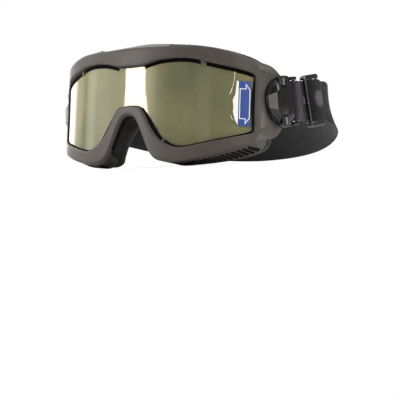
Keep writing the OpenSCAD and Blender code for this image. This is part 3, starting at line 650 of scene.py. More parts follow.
# ---------------------------------------------------------------- frame
NOSE_WALL_SPAN = 34       # rings to each side of the bridge
LONG_STEP = 10            # the wall is a section's only step rearwards that is longer
SINK_FROM, SINK_OVER = 0.78, 0.22      # shares of the window's half where the band sinks
VENT_TOP_FRONT = 1.2      # how far behind the lens the upper vents start
VENT_LOW_FRONT = 4.6      # and the lower ones
VENT_REAR = 4.4           # how far before the rear rim all of them end


def proud(i):
    """How far the band stands before the lens: less towards the arms."""
    share = abs(window_line[i][0]) / WINDOW_HALF
    return BAND_PROUD + (END_PROUD - BAND_PROUD) * eased((share - SINK_FROM) / SINK_OVER)


def frame_section(i):
    """The frame's section at a ring point: band, wall, rear flange and lens groove."""
    w, f, r, e, q = window_line[i], front_line[i], rim_line[i], outwards[i], proud(i)
    edge = q / BAND_PROUD
    share = (LIP_BACK + q - BAND_SIDE) / (RIM_BACK + q - (BAND_SIDE + RIM_EDGE))
    sunk = max(0.0, share * float((f - r) @ e))
    corners = [place(w, -q + edge), place(w + e * 0.6, -q + 0.25 * edge),
               place(w + e * 1.5, -q), place(f - e * 2, -q),
               place(f - e * 0.6, -q + 0.7 * edge), place(f, -q + BAND_SIDE * edge),
               place(r, 0, RIM_BACK - RIM_EDGE),
               place(r - e * 0.5, 0, RIM_BACK), place(r - e * FLANGE_W, 0, RIM_BACK),
               place(r - e * FLANGE_W, 0, RIM_BACK - WALL),
               place(r - e * (WALL + 0.3), 0, RIM_BACK - WALL),
               place(f - e * (WALL + sunk), LIP_BACK), place(w + e, LIP_BACK),
               place(w + e, GROOVE_BACK), place(w + e * GROOVE_W, GROOVE_BACK),
               place(w + e * GROOVE_W, GROOVE_FRONT), place(w, GROOVE_FRONT)]
    cuts = [0.3, 0.3, 0.25, 0.2, 0.35, 0.1, 0.04, 0.3, 0.1, 0.2, 0, 0, 0.2, 0, 0, 0, 0.15]
    return rounded(corners, cuts)


def slot_bodies(name, material, reach, sunk_by=0.0):
    """A solid in each vent of all four rows, spread by a node tree: cutters where it
    reaches past the wall, or the filter foam in the vents where its top is sunk."""
    middles, turns, lengths, tilts, ups = [], [], [], [], []
    for k in range(VENT_COUNT):
        s = VENT_START + k * VENT_PITCH
        sr, sf = s * RIM_HALF / FRONT_HALF + VENT_SLANT, s - VENT_SLANT / 2
        for run, up, start in ((UPPER_RUN, 1, VENT_TOP_FRONT), (LOWER_RUN, -1, VENT_LOW_FRONT)):
            front = place((sf, height_at(front_line[run], sf)), 0, start)
            rear = place((sr, height_at(rim_line[run], sr)), 0, RIM_BACK - VENT_REAR)
            for side in SIDES:
                a, b = on_side(front, side), on_side(rear, side)
                middles.append((a + b) / 2)
                ups.append(up)
                d = b - a
                turns.append(math.atan2(d[1], d[0]))
                tilts.append(-math.atan2(d[2], math.hypot(d[0], d[1])))
                lengths.append(float(np.hypot(d[0], d[1])))
    mesh = bpy.data.meshes.new("slot places")
    mesh.from_pydata([tuple(m) for m in middles], [], [])
    for field, values in (("slot_turn", turns), ("slot_tilt", tilts)):
        mesh.attributes.new(field, "FLOAT", "POINT").data.foreach_set("value", values)
    holder = in_scene(name, mesh)

    tree = bpy.data.node_groups.new(name, "GeometryNodeTree")
    face = tree.interface
    face.new_socket("Geometry", in_out="INPUT", socket_type="NodeSocketGeometry")
    width = face.new_socket("Slot width", in_out="INPUT", socket_type="NodeSocketFloat")
    depth = face.new_socket("Slot depth", in_out="INPUT", socket_type="NodeSocketFloat")
    face.new_socket("Geometry", in_out="OUTPUT", socket_type="NodeSocketGeometry")
    into, out = tree.nodes.new("NodeGroupInput"), tree.nodes.new("NodeGroupOutput")
    radius = add(tree, "ShaderNodeMath", {0: into.outputs["Slot width"], 1: 0.5},
                 operation="MULTIPLY")
    end = add(tree, "GeometryNodeMeshCylinder", {"Vertices": 16,
              "Radius": radius.outputs[0], "Depth": into.outputs["Slot depth"]})
    turn = add(tree, "GeometryNodeInputNamedAttribute", {"Name": "slot_turn"},
               data_type="FLOAT")
    tilt = add(tree, "GeometryNodeInputNamedAttribute", {"Name": "slot_tilt"},
               data_type="FLOAT")
    both = add(tree, "GeometryNodeJoinGeometry")
    for x in (0.5, -0.5):
        shift = add(tree, "GeometryNodeTransform", {"Geometry": end.outputs["Mesh"],
                    "Translation": (x, 0, 0)})
        tree.links.new(shift.outputs["Geometry"], both.inputs[0])
    spin = add(tree, "ShaderNodeCombineXYZ", {"Y": tilt.outputs["Attribute"],
               "Z": turn.outputs["Attribute"]})
    spread = add(tree, "GeometryNodeInstanceOnPoints", {"Points": into.outputs["Geometry"],
                 "Instance": both.outputs[0], "Rotation": spin.outputs[0]})
    loose = add(tree, "GeometryNodeRealizeInstances", {"Geometry": spread.outputs[0]})
    paint = add(tree, "GeometryNodeSetMaterial", {"Geometry": loose.outputs[0]})
    paint.inputs["Material"].default_value = material
    tree.links.new(paint.outputs[0], out.inputs[0])
    rows = holder.modifiers.new("slots", "NODES")
    rows.node_group = tree
    rows[width.identifier] = VENT_W + (0.02 if sunk_by else 0)
    rows[depth.identifier] = 2 * reach
    settle(holder)
    # Each pair of round ends becomes one long slot: stretch it to its own length
    count = len(holder.data.vertices) // len(middles)
    co = np.empty(len(holder.data.vertices) * 3, np.float32)
    holder.data.vertices.foreach_get("co", co)
    co = co.reshape(len(middles), count, 3)
    slots = []
    for m, turn_of, length_of, up, group in zip(middles, turns, lengths, ups, co):
        d = np.array([math.cos(turn_of), math.sin(turn_of), 0])
        local = group - m
        ends = group + np.outer(np.where(local @ d > 0, 1, -1), d) * (length_of / 2 - 0.5)
        if sunk_by:
            level = local[:, 2] * up > 0
            ends[:, 2] -= np.where(level, up * (reach + sunk_by), 0)
        slots.append(ends)
    old, holder.data = holder.data, hull_mesh(name, slots, material)
    bpy.data.meshes.remove(old)
    return holder


def arm_outline():
    """The arm's own outline: the source's corners, rounded, and a round end."""
    pts = [(x * ARM_END_R / ARM_DRAWN_R, y * ARM_END_R / ARM_DRAWN_R) for x, y in ARM_SHAPE]
    arc = [(ARM_END_R * math.cos(a), ARM_END_R * math.sin(a))
           for a in np.linspace(math.pi / 2 - 0.09, -math.pi / 2 + 0.09, 40)]
    upper = smooth_line(pts[:5], 5, None, (1, -0.12))
    lower = smooth_line(pts[6:], 5, (-1, -0.12), None)
    return [tuple(p) for p in upper[:-1]] + arc + [tuple(p) for p in lower[1:]]


# Each gusset's corners on the band, as [arc, height], and on the arm
GUSSETS = (([(92.4, 34.6), (96.6, 31.8), (98.6, 27.6)],
            [(-9.5, 23.0), (-15, 20.2), (-9.5, 20.2)]),
           ([(98.7, -17.5), (96.8, -23.8), (91.8, -26.7)],
            [(-8.2, -28.2), (-15, -20.2), (-9.5, -20.2)]))


def arm_gussets(side):
    """Fills the notches between the band's rounded corners and the arm's edges."""
    solids = []
    for band, arm in GUSSETS:
        pts = [place(p, d) for p in smooth_line(band, 6) for d in (-END_PROUD + 0.35, 5)]
        pts += [arm_point(x, y, z) for x, y in smooth_line(arm, 6)
                for z in (-0.03, -ARM_T + 0.5)]
        solids.append(in_scene("gusset", hull_mesh("gusset", [on_side(pts, side)], ELASTOMER)))
    return solids


def arm_plate(side):
    """The arm's flat plate, with rounded edges."""
    outline = arm_outline()
    pts = on_side([arm_point(x, y, z) for z in (-ARM_T, 0) for x, y in outline], side)
    made = new_piece("arm plate", seated(pts), prism_faces(len(outline)), [ELASTOMER])
    edge = made.modifiers.new("edge", "BEVEL")
    edge.width, edge.segments, edge.limit_method = 0.0008, 3, "ANGLE"
    edge.angle_limit = math.radians(50)
    return settle(made)


def post_hole(side):
    """Cutter for the hole in the arm that the post goes through."""
    n = 48
    ring = [(POST_HOLE_R * math.cos(a), POST_HOLE_R * math.sin(a))
            for a in np.linspace(0, 2 * math.pi, n, endpoint=False)]
    pts = on_side([arm_point(x, y, z) for z in (-ARM_T - 1, 1) for x, y in ring], side)
    return new_piece("post hole", seated(pts), prism_faces(n), [ELASTOMER])


def combine(target, tool, operation):
    """Joins a solid to a piece, or cuts it out, and drops the solid."""
    cut = target.modifiers.new("cut", "BOOLEAN")
    cut.operation, cut.object, cut.solver = operation, tool, "MANIFOLD"
    settle(target, 46)
    bpy.data.objects.remove(tool)


def painted_shade_nose_wall(sections):
    """Marks the wall behind the bridge, which is painted black: painted shade where the
    wearer's face would shade it.
    """
    marks = []
    for i, section in enumerate(sections):
        deep = [section[(k + 1) % len(section)][1] - p[1] for k, p in enumerate(section)]
        wall = next(k for k, d in enumerate(deep) if d > LONG_STEP)
        near = abs(i + 0.5 - HALF) < NOSE_WALL_SPAN
        marks += [int(near and k in (wall - 1, wall)) for k in range(len(section))]
    return marks


def goggle_frame():
    """The moulded frame: its ring, with the arms joined on and the vents cut out."""
    sections = [frame_section(i) for i in range(RING_N)]
    # The wall behind the bridge takes the black rubber as painted shade
    made = lofted("frame_moulding", sections, [ELASTOMER, SHIELD_AND_SHADE_BLACK], sides=painted_shade_nose_wall(sections))
    for side in SIDES:
        combine(made, arm_plate(side), "UNION")
    for side in SIDES:
        combine(made, post_hole(side), "DIFFERENCE")
    for side in SIDES:
        for gusset in arm_gussets(side):
            combine(made, gusset, "UNION")
    # The cutters carry the black rubber, so the vents' cut walls come out black: painted shade
    # inside the slots
    cutters = slot_bodies("slot cutters", ELASTOMER, 4.5)
    cutters.data.materials.append(SHIELD_AND_SHADE_BLACK)
    cutters.data.polygons.foreach_set("material_index",
                                      np.ones(len(cutters.data.polygons), np.int32))
    combine(made, cutters, "DIFFERENCE")
    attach(made, "goggles")
    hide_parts("frame")


goggle_frame()
plugs = slot_bodies("vent_foam_in_slots", FILTER_FOAM, 3.4, sunk_by=0.95)
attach(plugs, "goggles")


# Depths of the lugs' and the black shade lip's fronts, and of their backs, just clear of the
# film
LUG_FRONT, LIP_FRONT, TRIM_BACK = -1.0, -0.75, -0.27


def lens_lug(s, height, half_w, length, k):
    """A small lug of the frame that holds the edge of the lens: square to the window's
    top edge, or at a height on the slanting edge beside the nose arch."""
    if height is None:
        slope = (height_at(window_top, s + 1) - height_at(window_top, s - 1)) / 2
        start, way = np.array([s, height_at(window_top, s)]), unit((1, slope))
        inward = np.array([way[1], -way[0]])
    else:
        start, way, inward = np.array([s, height]), unit((-0.62, 0.78)), np.array([0.66, 0.75])
    root, tip = start - inward * 1.0, start + inward * length
    shape = [root - way * half_w * 1.5, tip - way * half_w * 0.8, tip + way * half_w * 0.8,
             root + way * half_w * 1.5]
    pts = [place(q, d) for d in (LUG_FRONT, TRIM_BACK) for q in shape]
    for side in SIDES:
        made = new_piece(f"lens_lug_{k}_{side}", seated(on_side(pts, side)), prism_faces(4),
                         [ELASTOMER])
        edge = made.modifiers.new("edge", "BEVEL")
        edge.width, edge.segments = 0.0002, 2
        settle(made)
        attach(made, "goggles")


lens_lug(56.0, None, 1.4, GAP_H + 0.5, 1)
lens_lug(27.4, -27.0, 0.8, 3.0, 2)


# ---------------------------------------------------------------- lens stack
WINDOW_TOP = 20.5         # above this height the window's edge counts as its top
AIR_GAPS = ((11.5, 54.2), (57.8, 93.3))      # arcs of the air gaps to each side


def air_gap_at(s):
    """True where the panes stop short of the frame's top edge, between its holds."""
    return any(first < abs(s) < last for first, last in AIR_GAPS)


def pane_outline(grow, gaps=True):
    """Outline of a pane as [arc, height], with the steps of the air gaps at its top."""
    fine = []
    for i in range(RING_N):
        for u in (0, 0.5):
            w = window_line[i] * (1 - u) + window_line[(i + 1) % RING_N] * u
            e = unit(outwards[i] * (1 - u) + outwards[(i + 1) % RING_N] * u)
            p = w + e * grow
            if gaps and w[1] > WINDOW_TOP and air_gap_at(w[0]):
                p = np.array([w[0], height_at(window_top, abs(w[0])) - GAP_H])
            fine.append(p)
    return np.array(fine)


def shell_from_outline(name, outline, front, back, materials, inner=None):
    """A curved plate between two depths, filled inside its outline, or a ring if inner
    is given. It is cut at every two millimetres of arc, so that it follows the lens."""
    bm = bmesh.new()
    loops = [outline] + ([inner] if inner is not None else [])
    edges = []
    for loop in loops:
        verts = [bm.verts.new((p[0], p[1], 0)) for p in loop]
        edges += [bm.edges.new((verts[i], verts[(i + 1) % len(verts)]))
                  for i in range(len(verts))]
    bmesh.ops.triangle_fill(bm, use_beauty=True, use_dissolve=False, edges=edges)
    bmesh.ops.remove_doubles(bm, verts=bm.verts, dist=1e-4)
    bmesh.ops.dissolve_limit(bm, angle_limit=0.01, verts=bm.verts, edges=bm.edges)
    for s in np.arange(-96, 97, 2.0):
        geom = list(bm.verts) + list(bm.edges) + list(bm.faces)
        bmesh.ops.bisect_plane(bm, geom=geom, dist=1e-5, plane_co=(float(s) + 0.013, 0, 0),
                               plane_no=(1, 0, 0))
    solid = bmesh.ops.extrude_face_region(bm, geom=list(bm.faces))
    moved = {g for g in solid["geom"] if isinstance(g, bmesh.types.BMVert)}
    for v in bm.verts:
        p = place((v.co.x, v.co.y), back if v in moved else front)
        v.co = Vector(seated([p])[0])
    bmesh.ops.recalc_face_normals(bm, faces=bm.faces)
    mesh = mesh_of(name, bm, materials)
    shade(mesh, 40)
    return in_scene(name, mesh)


for name, node, slot_name, front, back in (
        ("lens_front_pane", "lens_outer", "lens_outer", 0, OUTER_T),
        ("lens_rear_pane", "lens_inner", "lens_inner", INNER_FRONT, STACK_BACK)):
    pane = shell_from_outline(name, pane_outline(PANE_REACH), front, back, [LENS])
    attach(pane, "goggles")
    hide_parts(node)

seal_in = window_line - outwards * (GAP_H + SPACER_SHOW)
seal = shell_from_outline("lens_seal", pane_outline(PANE_REACH - 0.8, gaps=False), SPACER_FRONT,
                          SPACER_FRONT + SPACER_T, [SPACER_FOAM], inner=seal_in)
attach(seal, "goggles")
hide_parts("lens_spacer")

FILM_BACK = -0.05
FILM_FRONT = FILM_BACK - FILM_T
peel = shell_from_outline("peel_film", pane_outline(-0.5), FILM_FRONT, FILM_BACK, [FILM])
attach(peel, "goggles")
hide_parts("lens_film")


def lens_strip(name, points, depth, thick, materials):
    """A flat shape in [arc, height] laid on the lens, cut so that it bends with it."""
    return shell_from_outline(name, np.array(points, float), depth - thick, depth, materials)


# Black lip round the window, painted shade for the dark gap and the frame's shaded inner wall:
# its width at each point of the window's outline
LIP_WIDTHS = [0.4] * 11 + [0.9, 1.9, 2.6, 2.6, 2.6, 2.6, 2.4, 1.7, 1.2, 1.0, 1.0, 1.0, 1.0,
              1.1, 1.3, 1.7, 2.1, 2.5, 3.2, 2.9, 1.6, 0.8, 0.5, 0.4]
lip_places = LIP_WIDTHS + LIP_WIDTHS[-2:0:-1]
lip_w = np.interp(np.arange(RING_N) / RING_STEPS, np.arange(len(lip_places) + 1),
                  lip_places + lip_places[:1])
lip = shell_from_outline("painted_shade_lip", window_line + outwards * 0.05, LIP_FRONT, TRIM_BACK,
                         [SHADE_LIP_BLACK], inner=window_line - outwards * lip_w[:, None])
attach(lip, "goggles")

LABEL_FRONT = FILM_FRONT - 0.05
LABEL_EDGE, LABEL_W, LABEL_H, LABEL_LOW = WINDOW_HALF - 3.4, 9.0, 33.0, -14.3
label_left, label_top = LABEL_EDGE - LABEL_W, LABEL_LOW + LABEL_H
label = lens_strip("film_label", [(label_left, LABEL_LOW), (LABEL_EDGE, LABEL_LOW),
                   (LABEL_EDGE, label_top), (label_left, label_top)],
                   LABEL_FRONT, 0.15, [LABEL_BLUE])
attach(label, "goggles")
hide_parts("film_tab")


def mitre(t0, t1, reach, least):
    """The step from a corner to its place on an outline that lies to the left by reach;
    least keeps a sharp corner from running far out."""
    n0, n1 = np.array([-t0[1], t0[0]]), np.array([-t1[1], t1[0]])
    m = unit(n0 + n1)
    return m * reach / max(least, float(m @ n0))


def folded_line(points, width):
    """A mitred line through points, as the outline of a flat strip."""
    p = [np.array(q, float) for q in points]
    sides = []
    for i in range(len(p)):
        t0 = unit(p[i] - p[i - 1]) if i > 0 else unit(p[1] - p[0])
        t1 = unit(p[i + 1] - p[i]) if i < len(p) - 1 else t0
        sides.append(mitre(t0, t1, width / 2, 0.35))
    return [a + s for a, s in zip(p, sides)] + [a - s for a, s in zip(p[::-1], sides[::-1])]


def closed_line(points, grow):
    """A closed outline moved outwards by grow, its corners kept sharp."""
    p = [np.array(q, float) for q in points]
    return np.array([q + mitre(unit(q - p[i - 1]), unit(p[(i + 1) % len(p)] - q), grow, 0.4)
                     for i, q in enumerate(p)])


# A plain double arrow, measured from the label's top corner on the lens's side
arrow_box = [(1.1, 5.6), (5.5, 5.6), (5.5, 2.2), (8.5, 6.2), (8.5, 27.0), (5.5, 31.0),
             (5.5, 27.6), (1.1, 27.6)]
arrow = [(label_left + x, label_top - y) for x, y in arrow_box]
ink = shell_from_outline("label_arrow", closed_line(arrow, 0.3), LABEL_FRONT - 0.22,
                         LABEL_FRONT - 0.16, [LABEL_WHITE], inner=closed_line(arrow, -0.3))
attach(ink, "goggles")

# Outline of the strip of lifted film beside the label: milky, and partly a painted highlight
milky = [(label_left - 0.1, LABEL_LOW + 0.4), (label_left - 0.1, label_top - 0.4),
         (label_left - 1.6, label_top + 0.4), (label_left - 2.0, label_top - 4.5),
         (label_left - 2.4, label_top - 10), (label_left - 4.2, label_top - 14),
         (label_left - 3.6, LABEL_LOW + 14), (label_left - 3.9, LABEL_LOW + 10),
         (label_left - 2.2, LABEL_LOW + 4)]
lifted = lens_strip("film_lifted_edge", milky, LABEL_FRONT, 0.35, [MILKY_FILM_AND_HIGHLIGHT])
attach(lifted, "goggles")

# Each crease of the film, from the label's near edge, and its width: white strips, painted
# highlights along the film's wrinkles
CREASES = [([(-3.4, 24.7), (-3.1, 23.5)], 0.55),
           ([(-3.2, 23.4), (-3.4, 19.4), (-4.1, 15.4), (-5.2, 11.4)], 0.3),
           ([(-4.9, 12.4), (-6.4, 8.0)], 0.55), ([(-5.4, -7.5), (-3.8, -11.0)], 0.3)]
for k, (crease, crease_w) in enumerate(CREASES):
    path = [(label_left + x, 0.6 + y) for x, y in crease]
    fold = lens_strip(f"film_crease_{k + 1}", folded_line(path, crease_w),
                      FILM_FRONT - 0.02, 0.22, [MILKY_FILM_AND_HIGHLIGHT])
    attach(fold, "goggles")


# ---------------------------------------------------------------- foam and rubber
def foam_ring(name, section_of, node, material, cuts):
    """A soft ring on the frame's rear flange, with its section's corners rounded."""
    sections = [rounded(section_of(i), cuts) for i in range(RING_N)]
    made = lofted(name, sections, [material], smooth=60)
    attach(made, "goggles")
    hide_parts(node)
    return made


def foam_section(i):
    """The foam's crowned section: sides that swell, and a flat face for the lining."""
    r, e, b = rim_line[i], outwards[i], RIM_BACK + GAP
    return [place(r - e * 2, 0, b), place(r - e * 1.6, 0, b + FOAM_T * 0.35),
            place(r - e * 2.1, 0, b + FOAM_T * 0.8), place(r - e * 3.4, 0, b + FOAM_T),
            place(r - e * (FLANGE_W + 1.4), 0, b + FOAM_T),
            place(r - e * (FLANGE_W + 2.4), 0, b + FOAM_T * 0.7),
            place(r - e * (FLANGE_W + 1.2), 0, b + FOAM_T * 0.3),
            place(r - e * FLANGE_W, 0, b)]


def lining_section(i):
    """The lining's thin section, laid over the foam's face and its inner edge."""
    r, e, b = rim_line[i], outwards[i], RIM_BACK + GAP + FOAM_T + 0.1
    return [place(r - e * 3.4, 0, b), place(r - e * 3.8, 0, b + LINING_T * 0.7),
            place(r - e * 5, 0, b + LINING_T), place(r - e * (FLANGE_W - 0.1), 0, b + LINING_T),
            place(r - e * (FLANGE_W + 1), 0, b + LINING_T * 0.6),
            place(r - e * (FLANGE_W + 1.4), 0, b)]


foam_ring("face_foam_pad", foam_section, "face_foam", FACE_FOAM,
                    [0.1, 0.3, 0.3, 0.3, 0.3, 0.3, 0.3, 0.1])
foam_ring("foam_lining_cloth", lining_section, "foam_lining", LINING,
                    [0.1, 0.3, 0.3, 0.3, 0.3, 0.1])


def saddle():
    """The thin shield that closes the nose arch behind the frame."""
    def wall(j):
        return (place(front_line[j], BAND_SIDE - proud(j)),
                place(rim_line[j], 0, RIM_BACK - RIM_EDGE))

    sections = []
    for i in range(ARCH_FOOT, RING_N - ARCH_FOOT + 1):
        w, c, d = wall(i), wall(i + 1), wall(i - 1)
        n = unit(np.cross(c[0] + c[1] - d[0] - d[1], w[1] - w[0]))
        a = w[0] + (w[1] - w[0]) * 0.2 + n * 0.35
        b = w[0] + (w[1] - w[0]) * 0.98 + n * 0.35
        sections.append(rounded([b, a, a + n, b + n], [0.02] * 4))
    made = lofted("nose_saddle", sections, [SHIELD_AND_SHADE_BLACK], closed=False)
    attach(made, "goggles")
    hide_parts("nose_shield")


saddle()


def filter_strip(level, side):
    """A strip of filter foam inside the wall, behind one row of vents."""
    up, run = (1, UPPER_RUN) if level == "top" else (-1, LOWER_RUN)
    deep, e = WALL + 1.1, np.array([0, up])
    ahead, behind = LIP_BACK + 0.8, RIM_BACK - WALL - 0.8
    sections = []
    for k in np.linspace(0, VENT_COUNT, 3 * VENT_COUNT + 1):
        s = VENT_START - 3 + k * VENT_PITCH
        sr = s * RIM_HALF / FRONT_HALF
        f = np.array([s, height_at(front_line[run], s)])
        r = np.array([sr, height_at(rim_line[run], sr)])
        corners = [place(f - e * deep, ahead), place(r - e * deep, 0, behind),
                   place(r - e * (deep + FILTER_T), 0, behind),
                   place(f - e * (deep + FILTER_T), ahead)]
        sections.append(rounded(corners, [0.04] * 4))
    made = lofted(f"vent_foam_{level}_{side}", sections, [FILTER_FOAM], closed=False, side=side)
    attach(made, "goggles")
    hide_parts(f"vent_filter_{level}_{side}")


for level in ("top", "bottom"):
    for side in SIDES:
        filter_strip(level, side)


# ---------------------------------------------------------------- clips and sliders
def edged_copy(node, name, body, material, width, angle=28, segments=2,
               paled=None, cut_at=None, second=None):
    """The CAD node's own solid with merged faces and small rounded edges, whose bevels may
    take a pale painted edge highlight. Past a cut, a point and a way in metres, it takes a
    second material."""
    bm = bmesh.new()
    bm.from_mesh(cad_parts[node].data)
    bmesh.ops.remove_doubles(bm, verts=bm.verts, dist=2e-6)
    bmesh.ops.dissolve_limit(bm, angle_limit=math.radians(0.8), verts=bm.verts,
                             edges=bm.edges)
    if cut_at is not None:
        bmesh.ops.bisect_plane(bm, geom=list(bm.verts) + list(bm.edges) + list(bm.faces),
                               dist=1e-7, plane_co=cut_at[0], plane_no=cut_at[1])
    mesh = mesh_of(name, bm, [material])
    made = in_scene(name, mesh)
    edge = made.modifiers.new("edge", "BEVEL")
    edge.width, edge.segments, edge.limit_method = width / 1000, segments, "ANGLE"
    edge.angle_limit = math.radians(angle)
    edge.use_clamp_overlap = True
    edge.loop_slide = False
    if paled is not None:
        mesh.materials.append(paled)
        edge.material = 1
    settle(made, 30)
    past = np.zeros(len(made.data.polygons), np.int32)
    if paled is not None:
        made.data.polygons.foreach_get("material_index", past)
    if cut_at is not None:
        made.data.materials.append(second)
        centres = np.empty(len(past) * 3)
        made.data.polygons.foreach_get("center", centres)
        past = ((centres.reshape(-1, 3) - cut_at[0]) @ cut_at[1] > 0).astype(np.int32)
    made.data.polygons.foreach_set("material_index", past)
    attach(made, body)
    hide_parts(node)
    return made


def half_spring(side, up):
    """Half of the coil between the release tabs, which shortens as its tab comes in; here it is
    made at one length, fixed to the clip.
    """
    radius, wire, half = 0.95, 0.16, BUTTON_Y - 1.0
    x, level = -PLATE_X - radius - 0.35, PLATE2
    turns = 9
    n = turns * 14
    path = [clip_point(x + (radius - wire) * math.cos(a), (1 if up else -1) * h,
                       level + (radius - wire) * math.sin(a))
            for a, h in zip(np.linspace(0, 2 * math.pi * turns, n), np.linspace(0, half, n))]
    path = on_side(path, side)
    sections = []
    for i in range(n):
        t = way_at(path, i)
        a = unit(np.cross(t, (0.3, 0.5, 0.9)))
        b = np.cross(t, a)
        sections.append([path[i] + wire * (a * math.cos(q) + b * math.sin(q))
                         for q in np.linspace(0, 2 * math.pi, 6, endpoint=False)])
    where = "upper" if up else "lower"
    made = lofted(f"tab_coil_{where}_{side}", sections, [STEEL], closed=False, smooth=60)
    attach(made, f"clip_{side}")
    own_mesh(made)
    return made


FACET_COS = 0.985         # faces turned this squarely the grip facet's way belong to it

for side in SIDES:
    clip = f"clip_{side}"
    edged_copy(f"pivot_post_{side}", f"swivel_post_{side}", "goggles",
               POST_NYLON, 0.15)
    edged_copy(f"clip_base_{side}", f"clip_back_plate_{side}", clip,
               CLIP_ABS, 0.3)
    shell = edged_copy(f"clip_cover_{side}", f"clip_shell_{side}", clip,
                       CLIP_ABS, 0.22, angle=12, paled=EDGE_HIGHLIGHT_ABS)
    # Faces turned the grip facet's way take the pale grey: a painted reflection
    shell.data.materials.append(FACET_PAINTED_REFLECTION)
    grip = clip_point(-0.55, 0, 0.83) - clip_point(0, 0, 0)
    grip = seated_direction(on_side(grip, side))
    normals = np.empty(len(shell.data.polygons) * 3)
    shell.data.polygons.foreach_get("normal", normals)
    facing = normals.reshape(-1, 3) @ grip > FACET_COS
    marks = np.zeros(len(facing), np.int32)
    shell.data.polygons.foreach_get("material_index", marks)
    shell.data.polygons.foreach_set("material_index", np.where(facing, 2, marks))
    edged_copy(f"clip_screws_{side}", f"cover_screws_{side}", clip, STEEL, 0.1)
    strip_edge, forwards = seated(on_side([clip_point(BUTTON_X + 0.75, 0, 0),
                                           clip_point(BUTTON_X - 1, 0, 0)], side))
    # Each tab is pale grey on its button and black past the cut; the pale grey is partly a
    # painted highlight on the ribs
    for where in ("upper", "lower"):
        edged_copy(f"release_tab_{where}_{side}", f"ribbed_tab_{where}_{side}",
                   f"tab_{where}_{side}", TAB_GREY_AND_HIGHLIGHT, 0.12,
                   cut_at=(strip_edge, unit(forwards - strip_edge)), second=CLIP_ABS)
    edged_copy(f"slider_{side}", f"strap_slider_{side}", f"slider_{side}",
               SLIDER_ABS, 0.3, paled=EDGE_HIGHLIGHT_ABS)
    coils = [half_spring(side, True), half_spring(side, False)]
    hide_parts(f"tab_spring_{side}")


# ---------------------------------------------------------------- webbing
def web_profile(half_w, half_t, cells=14, roll=0.9):
    """Section of webbing: flat faces with rounded selvedges, [across, off its face]."""
    y = np.linspace(-half_w + roll, half_w - roll, cells + 1)
    upper = [(float(v), half_t) for v in y]
    turn = [(half_w - roll + roll * math.sin(a), half_t * math.cos(a))
            for a in np.linspace(0.35, math.pi - 0.35, 5)]
    lower = [(float(v), -half_t) for v in y[::-1]]
    back = [(-half_w + roll - roll * math.sin(a), -half_t * math.cos(a))
            for a in np.linspace(0.35, math.pi - 0.35, 5)]
    return upper + turn + lower + back


def web_along(path, wide):
    """Webbing along a path in goggle points, with its weave's own UV map in metres."""
    profile = web_profile(WEB_W / 2, WEB_T / 2)
    length = lengths_along(path)
    points, uv = [], []
    for i in range(len(path)):
        t = way_at(path, i)
        w = unit(wide[i] - t * (wide[i] @ t))
        o = np.cross(w, t)
        for y, h in profile:
            points.append(path[i] + w * y + o * h)
            uv.append((length[i] / 1000, y / 1000))
    return points, uv, len(profile), len(path)


def web_piece(name, points, uv, around, count, side):
    """A piece of webbing from its sections' points and UV pairs."""
    made = new_piece(name, seated(on_side(points, side)),
                     ring_faces(count, around, closed=False), [WEBBING], smooth=50)
    paint_uv(made.data, uv)
    return made


# The left half's middle line: round the clip's bar, off it, along the straight run, and
# on to the middle of the rear
wide_clip = clip_point(0, 1, 0) - clip_point(0, 0, 0)
run_end = run_point(STRAIGHT_END)
run_way = unit(run_point(1) - run_point(0))
wrap = [clip_point(BAR_X + WRAP_R * math.cos(a), 0, BAR_UP + WRAP_R * math.sin(a))
        for a in np.radians(np.arange(-90, -271, -15))]
turn_off = [clip_point(x, 0, z) for x, z in ((BAR_X + 1.6, BAR_UP + WRAP_R - 0.4),
            (BAR_X + 3.2, RUN_UP + 1.4), (BAR_X + 4.6, RUN_UP + 0.25))]
straight = [run_point(d) for d in np.linspace(RUN_FROM + 1.4, STRAIGHT_END, 12)]
first_part = np.array(wrap + turn_off + straight)
rear_points = [run_end] + [np.array([a * run_end[0], run_end[1] + b, run_end[2] - c])
                           for a, b, c in STRAP_REAR]
rear_part = smooth_line(rear_points, 10, run_way, (-1, 0, 0))[1:]
REAR_EASE = 2.6           # how soon the rear takes its own lean
FLAT_ROWS = 4             # rows past the straight run that a pushed-back slider lies on
up_rear = np.array([0, -math.sin(math.radians(LEAN)), math.cos(math.radians(LEAN))])


def wide_rear(p):
    """Way up the webbing's width, leaning in: most of all where the loop is widest."""
    away = unit((p[0], p[1] - LOOP_MID, (p[1] - LOOP_MID) * math.tan(math.radians(LEAN))))
    lean = math.radians(REAR_LEAN + SIDE_LEAN * eased(abs(p[0]) / 100))
    return up_rear * math.cos(lean) - away * math.sin(lean)


half_path = np.concatenate([first_part, rear_part])
eases = [0.0] * len(first_part) + [eased(max(k - FLAT_ROWS, 0) / len(rear_part) * REAR_EASE)
                                   for k in range(1, len(rear_part) + 1)]
half_wide = [wide_clip * (1 - u) + wide_rear(p) * u for p, u in zip(half_path, eases)]

for side in SIDES:
    half = web_piece(f"strap_{side}_half", *web_along(half_path, half_wide), side)
    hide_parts("strap")
    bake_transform(half)

    lap = BAR_UP - WRAP_R
    tail_path = np.array([clip_point(BAR_X + 0.5 + d, 0, lap)
                          for d in np.linspace(0, 4.6, 6)])
    tail = web_piece(f"webbing_end_{side}",
                     *web_along(tail_path, [wide_clip] * len(tail_path)), side)
    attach(tail, f"clip_{side}")
    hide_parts(f"strap_tail_{side}")

